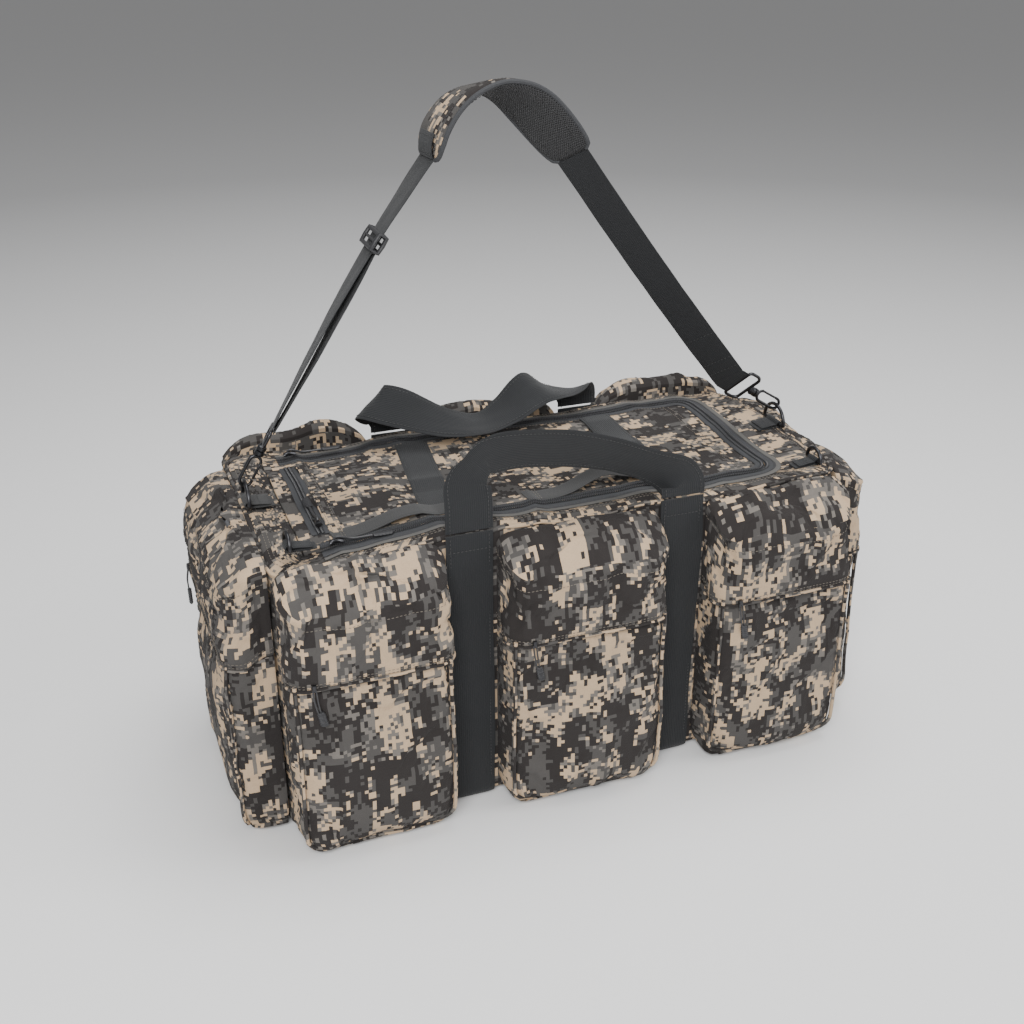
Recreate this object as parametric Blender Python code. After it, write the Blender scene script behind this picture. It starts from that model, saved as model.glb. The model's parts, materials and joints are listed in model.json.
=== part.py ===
"""A soft duffel bag: hollow body with a zipped lid, eight bellowed pockets with hinged hoods,
two carry handles on girth bands, and a clip-on shoulder strap. Metres, +Z up, X along the bag,
-Y is the front. The origin is under the middle of the bag, on the surface it stands on."""
import math

import bmesh
import bpy
from mathutils import Matrix, Vector

# ---------------------------------------------------------------- driving dimensions
BODY_LENGTH = 0.640
BODY_WIDTH = 0.280
BODY_HEIGHT = 0.327
BODY_CORNER = 0.030
BODY_WALL = 0.004
EDGE_ROUND = 0.010

POCKET_DEPTH = 0.045
END_POCKET_DEPTH = 0.049
POCKET_WALL = 0.003
POCKET_CORNER = 0.020
HOOD_HEIGHT = 0.096
HOOD_TOP_DROP = 0.012
HOOD_SLOPES = {"front": 0.030, "rear": 0.012, "left": 0.015, "right": 0.015}
HOOD_OPEN_GAP = 0.001
POCKET_SIDE_GAP = 0.004
END_POCKET_MARGIN = 0.012

WIDE_WEBBING = 0.050
STRAP_WEBBING = 0.038
LASH_WEBBING = 0.025
WEBBING_THICKNESS = 0.0025
BAND_SHARE = 0.371875

BOARD_THICKNESS = 0.003
BOARD_MARGIN = 0.006

LID_HINGE_MARGIN = 0.040
LID_END_MARGIN = 0.070
LID_SIDE_MARGIN = 0.032
LID_CORNER = 0.024
LID_GAP = 0.001
LID_THICKNESS = 0.004

ZIP_HALF_WIDTH = 0.006
ZIP_HEIGHT = 0.0025
ZIP_END_INSET = 0.018
SLIDER_LENGTH = 0.016
SLIDER_WIDTH = 0.007

RING_RADIUS = 0.022
RING_WIRE = 0.004
RING_INSET = 0.005
CORNER_RING_RADIUS = 0.014
TAB_WEBBING = 0.025
TAB_THICKNESS = 0.002
TAB_LENGTH = 0.024

HOOK_EYE_LENGTH = 0.032
HOOK_HALF_WIDTH = 0.008
HOOK_WIRE = 0.0034
HOOK_THICKNESS = 0.004
HOOK_BAR_AT = 0.064
SWIVEL_WIRE = 0.0036
GATE_FROM = 0.006
GATE_TO = 0.024

STRAP_THICKNESS = 0.002
PAD_WIDTH = 0.062
PAD_THICKNESS = 0.010
HOOK_LEANS = {"left": 59.0, "right": 148.0}
LEFT_TILTS = (16.0, -4.0)
RIGHT_TILTS = (-54.0, -46.0)
PAD_ARCH = [
    (-0.334, 1.069, -4), (-0.306, 1.156, -3), (-0.250, 1.225, 0), (-0.172, 1.259, 9),
    (-0.088, 1.253, 22), (0.006, 1.194, 37), (0.144, 1.044, 46),
]
LEFT_BOW = 0.012
RIGHT_SAG = 0.004
RETURN_SAG = 0.004
HOOK_LEAD = 0.014
ADJUSTER_SHARE = 0.66
RUN_STEPS = 8

FIT_GAP = 0.0005
ROUND_STEPS = 3
WIRE_SIDES = 8

# ---------------------------------------------------------------- places that follow from them
BASE_Z = WEBBING_THICKNESS + FIT_GAP
DECK_Z = BASE_Z + BODY_HEIGHT
HALF_BAND = BODY_LENGTH * BAND_SHARE / 2
POCKET_BASE_Z = BASE_Z + 0.001
HOOD_TOP_Z = DECK_Z - HOOD_TOP_DROP
POCKET_SEAM_HEIGHT = HOOD_TOP_Z - HOOD_HEIGHT
HANDLE_Y = BODY_WIDTH / 2 + FIT_GAP + WEBBING_THICKNESS / 2
HANDLE_Z = DECK_Z + 0.0025
RING_Z = DECK_Z + FIT_GAP + TAB_THICKNESS + FIT_GAP + RING_WIRE / 2 + 0.0003
RING_X = BODY_LENGTH / 2 - RING_INSET
LID_HINGE_X = -BODY_LENGTH / 2 + LID_HINGE_MARGIN
LID_HINGE_Z = DECK_Z + FIT_GAP
LID_RIGHT_X = BODY_LENGTH / 2 - LID_END_MARGIN
LID_WIDTH = BODY_WIDTH - 2 * LID_SIDE_MARGIN


# ---------------------------------------------------------------- materials
def finish(name, colour, roughness, metallic=0.0):
    material = bpy.data.materials.new(name)
    material.use_nodes = True
    shader = material.node_tree.nodes["Principled BSDF"]
    shader.inputs["Base Color"].default_value = (*colour, 1.0)
    shader.inputs["Roughness"].default_value = roughness
    shader.inputs["Metallic"].default_value = metallic
    return material


FINISHES = {
    "camouflage_cloth": ((0.20, 0.18, 0.16), 0.85, 0.0),
    "dark_webbing": ((0.055, 0.058, 0.062), 0.80, 0.0),
    "black_zip": ((0.020, 0.020, 0.023), 0.50, 0.0),
    "black_plastic": ((0.015, 0.015, 0.016), 0.40, 0.0),
    "black_metal": ((0.030, 0.030, 0.032), 0.35, 0.9),
    "board": ((0.10, 0.10, 0.10), 0.60, 0.0),
}
MATERIALS = {}


# ---------------------------------------------------------------- mesh helpers
def add_object(name, mesh_data, material, location=(0, 0, 0), turn_z=0.0):
    """Fills a new object with the bmesh, points its faces outwards and places it."""
    bmesh.ops.recalc_face_normals(mesh_data, faces=mesh_data.faces)
    mesh = bpy.data.meshes.new(name)
    mesh_data.to_mesh(mesh)
    mesh_data.free()
    mesh.materials.append(MATERIALS[material])
    mesh.shade_smooth()
    mesh.set_sharp_from_angle(angle=math.radians(35))
    obj = bpy.data.objects.new(name, mesh)
    bpy.context.scene.collection.objects.link(obj)
    obj.location = location
    obj.rotation_euler[2] = turn_z
    return obj


def loft(rings, closed=False):
    """A closed solid through rings of equally many points; a closed loft joins its last ring
    to its first instead of capping both."""
    solid = bmesh.new()
    loops = [[solid.verts.new(point) for point in ring] for ring in rings]
    count = len(rings[0])
    pairs = list(zip(loops, loops[1:]))
    if closed:
        pairs.append((loops[-1], loops[0]))
    for lower, upper in pairs:
        for i in range(count):
            j = (i + 1) % count
            solid.faces.new((lower[i], lower[j], upper[j], upper[i]))
    if not closed:
        solid.faces.new(list(reversed(loops[0])))
        solid.faces.new(loops[-1])
    return solid


def cut(obj, cutter_mesh, name):
    """Takes a cutter's shape out of an object."""
    cutter = add_object(name, cutter_mesh, "board")
    cutter.hide_render = True
    cutter.display_type = "WIRE"
    cutter.matrix_world = Matrix.Identity(4)
    modifier = obj.modifiers.new(name, "BOOLEAN")
    modifier.operation = "DIFFERENCE"
    modifier.solver = "EXACT"
    modifier.object = cutter
    return cutter


def arc(cx, cy, radius, start, end, steps):
    """Points on an arc, angles in degrees."""
    points = []
    for i in range(steps + 1):
        angle = math.radians(start + (end - start) * i / steps)
        points.append((cx + radius * math.cos(angle), cy + radius * math.sin(angle)))
    return points


def rounded_rectangle(half_x, half_y, radius, steps=ROUND_STEPS + 1):
    """A counter-clockwise outline about the origin."""
    points = arc(half_x - radius, half_y - radius, radius, 0, 90, steps)
    points += arc(-half_x + radius, half_y - radius, radius, 90, 180, steps)
    points += arc(-half_x + radius, -half_y + radius, radius, 180, 270, steps)
    points += arc(half_x - radius, -half_y + radius, radius, 270, 360, steps)
    return points


def smooth_path(points, steps):
    """A Catmull-Rom curve through hand-chosen points, which may carry extra values."""
    ends = [points[0]] + list(points) + [points[-1]]
    out = []
    for k in range(1, len(ends) - 2):
        before, here, after, beyond = ends[k - 1 : k + 3]
        for i in range(steps):
            t = i / steps
            out.append([
                0.5 * (2 * b + (c - a) * t + (2 * a - 5 * b + 4 * c - d) * t * t
                       + (3 * b - a - 3 * c + d) * t ** 3)
                for a, b, c, d in zip(before, here, after, beyond)
            ])
    out.append(list(points[-1]))
    return out


def ribbon(path, sides, width, thickness, closed=False):
    """A strip of webbing: a rectangle swept along path, its width along sides."""
    rings = []
    count = len(path)
    for i, point in enumerate(path):
        ahead = path[(i + 1) % count] if closed or i < count - 1 else point
        behind = path[i - 1] if closed or i > 0 else point
        tangent = (Vector(ahead) - Vector(behind)).normalized()
        side = Vector(sides[i] if isinstance(sides, list) else sides)
        side = (side - side.dot(tangent) * tangent).normalized()
        normal = tangent.cross(side)
        half_side = side * (width[i] if isinstance(width, list) else width) / 2
        half_normal = normal * thickness / 2
        middle = Vector(point)
        rings.append([
            middle + half_side + half_normal,
            middle - half_side + half_normal,
            middle - half_side - half_normal,
            middle + half_side - half_normal,
        ])
    return loft(rings, closed)


def swept_wire(path, diameter, up=(1, 0, 0)):
    """A closed loop of round wire that lies in the plane square to up."""
    rings = []
    count = len(path)
    for i, point in enumerate(path):
        tangent = (Vector(path[(i + 1) % count]) - Vector(path[i - 1])).normalized()
        first = Vector(up)
        second = tangent.cross(first).normalized()
        rings.append([
            Vector(point)
            + first * math.cos(2 * math.pi * k / WIRE_SIDES) * diameter / 2
            + second * math.sin(2 * math.pi * k / WIRE_SIDES) * diameter / 2
            for k in range(WIRE_SIDES)
        ])
    return loft(rings, closed=True)


# ---------------------------------------------------------------- body
def body_rings(levels, wall):
    """Rings of the body's rounded outline; each level is a height and how far it pulls in."""
    rings = []
    for height, inset in levels:
        outline = rounded_rectangle(
            BODY_LENGTH / 2 - wall - inset, BODY_WIDTH / 2 - wall - inset, BODY_CORNER - wall
        )
        rings.append([(x, y, height) for x, y in outline])
    return rings


def make_main_shell():
    outer = [
        (BASE_Z, EDGE_ROUND * 0.8),
        (BASE_Z + EDGE_ROUND * 0.3, EDGE_ROUND * 0.2),
        (BASE_Z + EDGE_ROUND, 0.0),
        (DECK_Z - EDGE_ROUND, 0.0),
        (DECK_Z - EDGE_ROUND * 0.3, EDGE_ROUND * 0.3),
        (DECK_Z, EDGE_ROUND),
    ]
    shell = add_object("main_shell", loft(body_rings(outer, 0.0)), "camouflage_cloth")
    inner = [
        (BASE_Z + BODY_WALL, EDGE_ROUND * 0.8),
        (BASE_Z + BODY_WALL + EDGE_ROUND * 0.6, 0.0),
        (DECK_Z - BODY_WALL - EDGE_ROUND * 0.6, 0.0),
        (DECK_Z - BODY_WALL, EDGE_ROUND),
    ]
    cut(shell, loft(body_rings(inner, BODY_WALL)), "cut_main_hollow")
    outline = lid_outline(LID_GAP / 2, LID_HINGE_X - LID_GAP)
    reach = 2 * BODY_WALL
    prism = loft([
        [(x, y, DECK_Z - reach) for x, y in outline],
        [(x, y, DECK_Z + reach) for x, y in outline],
    ])
    cut(shell, prism, "cut_lid_opening")


def make_base_board():
    """The stiffener lying loose on the floor of the main compartment."""
    inset = BODY_WALL + BOARD_MARGIN + EDGE_ROUND * 0.5
    outline = rounded_rectangle(
        BODY_LENGTH / 2 - inset, BODY_WIDTH / 2 - inset, BODY_CORNER - BODY_WALL
    )
    low = BASE_Z + BODY_WALL + FIT_GAP
    rings = [[(x, y, z) for x, y in outline] for z in (low, low + BOARD_THICKNESS)]
    add_object("base_board", loft(rings), "board")


def lid_outline(grow, left_x):
    """The lid's outline: square at the hinge end, round at the two free corners."""
    right = LID_RIGHT_X + grow
    half = LID_WIDTH / 2 + grow
    radius = LID_CORNER + grow
    points = [(left_x, -half)]
    points += arc(right - radius, -half + radius, radius, -90, 0, ROUND_STEPS + 2)
    points += arc(right - radius, half - radius, radius, 0, 90, ROUND_STEPS + 2)
    points.append((left_x, half))
    return points


# ---------------------------------------------------------------- pockets
def pocket_ring(half_width, depth, inset, height_at, back=0.0):
    """One level of a pocket, which stands out along -Y from its back plane."""
    radius = max(POCKET_CORNER - inset, 0.002)
    left = -half_width + inset
    right = half_width - inset
    front = -depth + inset
    outline = [(left, -back)]
    outline += arc(left + radius, front + radius, radius, 180, 270, ROUND_STEPS)
    outline += arc(right - radius, front + radius, radius, 270, 360, ROUND_STEPS)
    outline.append((right, -back))
    return [(x, y, height_at(-y / depth)) for x, y in outline]


def level(height):
    return lambda share: height


def slope(back_height, fall):
    return lambda share: back_height - fall * share


def pocket_turn(outward):
    """The turn about Z that faces a pocket's -Y side to an outward direction."""
    return {"front": 0.0, "rear": math.pi, "right": math.pi / 2, "left": -math.pi / 2}[outward]


def make_pocket(name, outward, centre, half_width, depth):
    """A pocket tray sewn to the body, its hood hinged at the top seam, and its zip pull."""
    turn = pocket_turn(outward)
    place = Matrix.Translation(centre) @ Matrix.Rotation(turn, 4, "Z")

    low = POCKET_BASE_Z
    tray = loft([
        pocket_ring(half_width, depth, 0.012, level(low)),
        pocket_ring(half_width, depth, 0.004, level(low + 0.003)),
        pocket_ring(half_width, depth, 0.0, level(low + 0.012)),
        pocket_ring(half_width, depth, 0.0, level(POCKET_SEAM_HEIGHT)),
    ])
    tray_object = add_object(f"{name}_pocket", tray, "camouflage_cloth", centre, turn)
    wall = POCKET_WALL
    hollow = loft([
        pocket_ring(half_width, depth, wall + 0.009, level(low + wall), -wall),
        pocket_ring(half_width, depth, wall, level(low + wall + 0.010), -wall),
        pocket_ring(half_width, depth, wall, level(POCKET_SEAM_HEIGHT + wall), -wall),
    ])
    hollow.transform(place)
    cut(tray_object, hollow, f"cut_{name}_pocket")

    seam = POCKET_SEAM_HEIGHT + HOOD_OPEN_GAP - HOOD_TOP_Z
    fall = HOOD_SLOPES[outward]
    hood = loft([
        pocket_ring(half_width, depth, 0.0, level(seam)),
        pocket_ring(half_width, depth, 0.0, slope(-0.010, fall)),
        pocket_ring(half_width, depth, 0.004, slope(-0.002, fall)),
        pocket_ring(half_width, depth, 0.010, slope(0.0, fall)),
    ])
    hinge = (centre[0], centre[1], HOOD_TOP_Z)
    hood_object = add_object(f"{name}_hood", hood, "camouflage_cloth", hinge, turn)
    hollow = loft([
        pocket_ring(half_width, depth, wall, level(seam - wall), -wall),
        pocket_ring(half_width, depth, wall, slope(-0.010 - wall * 0.4, fall), -wall),
        pocket_ring(half_width, depth, wall + 0.008, slope(-wall, fall), -wall),
    ])
    hollow.transform(Matrix.Translation((0, 0, HOOD_TOP_Z)) @ place)
    cut(hood_object, hollow, f"cut_{name}_hood")

    make_pocket_pull(name, place, half_width, depth, turn)


def make_pocket_pull(name, place, half_width, depth, turn):
    """A slider with its hanging pull, just under the hood's edge at the left end of the zip."""
    face = -depth - FIT_GAP
    from_end = POCKET_CORNER + SLIDER_WIDTH / 2
    profile = [
        (SLIDER_WIDTH * 0.8, 0.0, 0.0040),
        (SLIDER_WIDTH * 0.8, -0.010, 0.0040),
        (SLIDER_WIDTH * 0.55, -0.013, 0.0028),
        (SLIDER_WIDTH * 0.55, -0.028, 0.0028),
        (SLIDER_WIDTH * 0.9, -0.032, 0.0050),
        (SLIDER_WIDTH * 0.9, -0.048, 0.0050),
    ]
    rings = []
    for width, height, thick in profile:
        corners = [(-width / 2, 0), (width / 2, 0), (width / 2, -thick), (-width / 2, -thick)]
        rings.append([(x, y, height) for x, y in corners])
    origin = place @ Vector((-half_width + from_end, face, POCKET_SEAM_HEIGHT - 0.001))
    add_object(f"{name}_zip_pull", loft(rings), "black_zip", origin, turn)


def make_pockets():
    outer_low = HALF_BAND + WIDE_WEBBING / 2 + POCKET_SIDE_GAP
    outer_high = BODY_LENGTH / 2 - FIT_GAP * 4
    outer_half = (outer_high - outer_low) / 2
    outer_middle = (outer_high + outer_low) / 2
    middle_half = HALF_BAND - WIDE_WEBBING / 2 - POCKET_SIDE_GAP
    back = BODY_WIDTH / 2 + FIT_GAP
    for outward, side in (("front", -1), ("rear", 1)):
        for column, x, half in (
            ("left", -outer_middle, outer_half),
            ("middle", 0.0, middle_half),
            ("right", outer_middle, outer_half),
        ):
            name = f"{outward}_{column}"
            make_pocket(name, outward, (x, side * back, 0), half, POCKET_DEPTH)
    end_half = BODY_WIDTH / 2 - END_POCKET_MARGIN
    end_back = BODY_LENGTH / 2 + FIT_GAP
    for outward, side in (("left", -1), ("right", 1)):
        centre = (side * end_back, 0, 0)
        make_pocket(f"{outward}_end", outward, centre, end_half, END_POCKET_DEPTH)


# ---------------------------------------------------------------- girth bands and handles
def make_girth_band(name, x):
    """A wide band up the front face, under the base and up the rear face."""
    run_y = HANDLE_Y
    run_z = WEBBING_THICKNESS / 2
    turn = 0.010
    half_path = [(run_y, DECK_Z - FIT_GAP)]
    half_path += [(run_y, DECK_Z * 0.5)]
    half_path += arc(run_y - turn, run_z + turn, turn, 0, -90, ROUND_STEPS)
    path = [(x, -y, z) for y, z in half_path] + [(x, y, z) for y, z in reversed(half_path)]
    band = ribbon(path, (1, 0, 0), WIDE_WEBBING, WEBBING_THICKNESS)
    add_object(name, band, "dark_webbing")


def handle_points(points, sign):
    """World points of a handle: x in half band spacings, then rise inwards and up."""
    return [(fx * HALF_BAND, sign * (HANDLE_Y - inward), HANDLE_Z + up) for fx, inward, up in points]


def make_handle(name, sign, points, sides):
    """A wide loop of webbing whose two feet stand on the girth bands."""
    rows = [(*p, *s) for p, s in zip(handle_points(points, sign), sides)]
    rows = smooth_path(rows, 3)
    hinge = Vector((0, sign * HANDLE_Y, HANDLE_Z))
    path = [Vector(row[:3]) - hinge for row in rows]
    path[1].xy = path[0].xy
    path[-2].xy = path[-1].xy
    loop = ribbon(path, [row[3:] for row in rows], WIDE_WEBBING, WEBBING_THICKNESS)
    add_object(name, loop, "dark_webbing", hinge)


def make_handles():
    front_points = [
        (-1.00, 0.000, 0.000), (-1.00, 0.000, 0.006), (-1.00, 0.001, 0.030), (-1.00, 0.003, 0.051),
        (-0.91, 0.005, 0.066), (-0.80, 0.007, 0.075), (-0.50, 0.010, 0.075), (-0.10, 0.012, 0.068),
        (0.30, 0.012, 0.055), (0.62, 0.011, 0.040), (0.88, 0.006, 0.026), (0.99, 0.002, 0.014),
        (1.00, 0.000, 0.006), (1.00, 0.000, 0.000),
    ]
    front_sides = [
        (1, 0, 0), (1, 0, 0), (1, 0, 0), (1, 0, -0.10), (0.7, 0.1, -0.7), (0.2, 0.2, -0.95),
        (0, 0.35, -1), (-0.12, 0.4, -1), (-0.3, 0.5, -0.85), (-0.5, 0.55, -0.65), (-0.85, 0.35, -0.25),
        (-1, 0.1, 0), (-1, 0, 0), (-1, 0, 0),
    ]
    make_handle("front_handle", -1, front_points, front_sides)
    rear_points = [
        (-1.00, 0.000, 0.000), (-1.00, 0.000, 0.006), (-1.01, 0.001, 0.014), (-1.08, 0.006, 0.028),
        (-1.24, 0.018, 0.043), (-1.22, 0.034, 0.050), (-1.00, 0.046, 0.044), (-0.62, 0.056, 0.026), (-0.24, 0.060, 0.018),
        (0.04, 0.056, 0.028), (0.28, 0.048, 0.043), (0.42, 0.040, 0.045), (0.66, 0.026, 0.034),
        (0.90, 0.008, 0.025), (0.99, 0.001, 0.014), (1.00, 0.000, 0.006), (1.00, 0.000, 0.000),
    ]
    rear_sides = [
        (1, 0, 0), (1, 0, 0), (1, 0, 0), (1, 0.1, 0.05), (0.85, 0.4, 0.35), (0.6, 0.55, 0.55),
        (0.3, 0.65, 0.7),
        (0.05, 0.9, 0.45), (0, 1, 0.15), (-0.1, 0.95, 0.3), (-0.15, 0.8, 0.6), (-0.35, 0.75, 0.5),
        (-0.75, 0.6, 0.2), (-0.97, 0.2, 0), (-1, 0, 0), (-1, 0, 0), (-1, 0, 0),
    ]
    make_handle("rear_handle", 1, rear_points, rear_sides)


# ---------------------------------------------------------------- lid and its zip
def make_lid_panel():
    outline = lid_outline(-LID_GAP / 2, LID_HINGE_X + FIT_GAP)
    low = DECK_Z - LID_THICKNESS - LID_HINGE_Z
    rings = [[(x - LID_HINGE_X, y, z) for x, y in outline] for z in (low, low + LID_THICKNESS)]
    add_object("lid_panel", loft(rings), "camouflage_cloth", (LID_HINGE_X, 0, LID_HINGE_Z))


def make_zip_half(name, grow):
    """Half of the coil zip, a strip along the lid's three free sides."""
    outline = lid_outline(grow, LID_HINGE_X + ZIP_END_INSET)
    z = DECK_Z + FIT_GAP + ZIP_HEIGHT / 2
    path = [Vector((x, y, z)) for x, y in outline]
    count = len(path)
    sides = []
    for i in range(count):
        tangent = path[min(i + 1, count - 1)] - path[max(i - 1, 0)]
        sides.append(tuple(tangent.cross(Vector((0, 0, 1)))))
    strip = ribbon(path, sides, ZIP_HALF_WIDTH, ZIP_HEIGHT)
    add_object(name, strip, "black_zip")


def slider_mesh(width):
    """A zip slider with a short pull tab lying behind it, along +X."""
    profile = [
        (-0.5, 0.6), (-0.3, 1.0), (0.2, 1.0), (0.5, 0.7),
    ]
    rings = []
    for along, share in profile:
        half = width * share / 2
        height = 0.005 if abs(along) < 0.4 else 0.0035
        x = along * SLIDER_LENGTH
        rings.append([(x, -half, 0), (x, half, 0), (x, half, height), (x, -half, height)])
    for along, share in ((0.9, 0.5), (2.4, 0.5), (2.8, 0.9), (3.6, 0.9)):
        half = width * share / 2
        x = along * SLIDER_LENGTH
        rings.append([(x, -half, 0), (x, half, 0), (x, half, 0.003), (x, -half, 0.003)])
    return loft(rings)


def make_main_sliders():
    """The two sliders, parked at the hinge ends of the zip, on the deck's half of the coil."""
    z = DECK_Z + 2 * FIT_GAP + ZIP_HEIGHT
    off = LID_WIDTH / 2 + ZIP_HALF_WIDTH * 0.5 + FIT_GAP
    x = LID_HINGE_X + ZIP_END_INSET + SLIDER_LENGTH
    width = SLIDER_WIDTH * 0.85
    for name, sign in (("front_main_slider", -1), ("rear_main_slider", 1)):
        add_object(name, slider_mesh(width), "black_zip", (x, sign * off, z))


def make_lid_fittings():
    """Everything sewn on the lid: its pocket's zip, two bands and two lash loops."""
    top = DECK_Z + FIT_GAP
    zip_x = LID_HINGE_X + ZIP_END_INSET + 0.006
    half_run = LID_WIDTH / 2 - 0.024
    z = top + ZIP_HEIGHT / 2
    path = [(zip_x, -half_run, z), (zip_x, half_run, z)]
    pocket_zip = ribbon(path, (1, 0, 0), ZIP_HALF_WIDTH * 2, ZIP_HEIGHT)
    add_object("lid_pocket_zip", pocket_zip, "black_zip")
    slider = slider_mesh(SLIDER_WIDTH)
    place = (zip_x, -half_run + SLIDER_LENGTH, top + ZIP_HEIGHT + FIT_GAP)
    add_object("lid_pocket_slider", slider, "black_zip", place, math.pi / 2)

    z = top + WEBBING_THICKNESS / 2
    reach = LID_WIDTH / 2 - ZIP_HALF_WIDTH - 0.004
    clear = reach - LASH_WEBBING - 0.003
    for name, x in (("lid_band_left", -HALF_BAND), ("lid_band_right", HALF_BAND)):
        path = [(x, -clear, z), (x, reach, z)]
        band = ribbon(path, (1, 0, 0), STRAP_WEBBING, WEBBING_THICKNESS)
        add_object(name, band, "dark_webbing")

    y = -reach + LASH_WEBBING / 2
    left_start = zip_x + ZIP_HALF_WIDTH + 0.003
    for name, start, end, lift in (
        ("lash_loop_left", left_start, -HALF_BAND + STRAP_WEBBING / 2, 0.006),
        ("lash_loop_right", -HALF_BAND / 3, HALF_BAND + STRAP_WEBBING / 2, 0.014),
    ):
        path = []
        for i in range(13):
            share = i / 12
            foot = min(share, 1 - share) * (end - start)
            rise = lift * math.sin(math.pi * share) ** 2 if foot > 0.012 else 0.0
            path.append((start + (end - start) * share, y, z + rise))
        loop = ribbon(path, (0, 1, 0), LASH_WEBBING, WEBBING_THICKNESS)
        add_object(name, loop, "dark_webbing")


# ---------------------------------------------------------------- rings and their tabs
def ring_path(radius):
    """A D: a straight bar along Y and a half circle over it, about the bar's middle."""
    bar = [(0, -radius * 0.5, 0), (0, 0, 0), (0, radius * 0.5, 0)]
    return bar + [(0, y, z) for y, z in arc(0, 0, radius, 0, 180, 12)]


def make_tab_and_ring(name, centre, radius, tail, webbing):
    """A ring in a folded webbing tab whose tail, along +X or -X, is sewn flat to the deck."""
    x, y, z = centre
    ring = swept_wire(ring_path(radius), RING_WIRE)
    add_object(f"{name}_ring", ring, "black_metal", centre)
    around = RING_WIRE / 2 + FIT_GAP + TAB_THICKNESS / 2
    floor = DECK_Z + FIT_GAP + TAB_THICKNESS / 2
    path = [(x + tail * (TAB_LENGTH + around), y, floor), (x + tail * around * 1.6, y, floor)]
    turn = arc(0, 0, around, -60, -360, 8)
    path += [(x + tail * px, y, z + max(pz, floor - z)) for px, pz in turn]
    tab = ribbon(path, (0, 1, 0), webbing, TAB_THICKNESS)
    add_object(f"{name}_tab", tab, "dark_webbing")


def make_rings():
    for name, sign in (("left_end", -1), ("right_end", 1)):
        make_tab_and_ring(name, (sign * RING_X, 0, RING_Z), RING_RADIUS, -sign, TAB_WEBBING)
    corner_x = BODY_LENGTH / 2 - EDGE_ROUND - CORNER_RING_RADIUS
    corner_y = -(BODY_WIDTH / 2 - EDGE_ROUND - CORNER_RING_RADIUS)
    for name, sign in (("left_corner", -1), ("right_corner", 1)):
        centre = (sign * corner_x, corner_y, RING_Z)
        width = CORNER_RING_RADIUS * 1.1
        make_tab_and_ring(name, centre, CORNER_RING_RADIUS, -sign, width)


# ---------------------------------------------------------------- shoulder strap
def hook_frame(name):
    """Local axes of a hook: X across its eye, Y through it, Z along it away from the ring."""
    lean = HOOK_LEANS[name]
    sign = {"left": -1, "right": 1}[name]
    along = Vector((math.cos(math.radians(lean)), 0, math.sin(math.radians(lean))))
    through = Vector((0, 1, 0))
    across = through.cross(along)
    frame = Matrix((across, through, along)).transposed().to_4x4()
    return Matrix.Translation((sign * RING_X, 0, RING_Z + RING_RADIUS)) @ frame


def slot_outline(half, low, high, radius, steps=3):
    points = arc(half - radius, high - radius, radius, 0, 90, steps)
    points += arc(-half + radius, high - radius, radius, 90, 180, steps)
    points += arc(-half + radius, low + radius, radius, 180, 270, steps)
    points += arc(half - radius, low + radius, radius, 270, 360, steps)
    return points


def slab(outline, thickness, frame):
    """A flat piece in the hook's plane."""
    rings = [[(x, y, z) for x, z in outline] for y in (-thickness / 2, thickness / 2)]
    solid = loft(rings)
    solid.transform(frame)
    return solid


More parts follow.
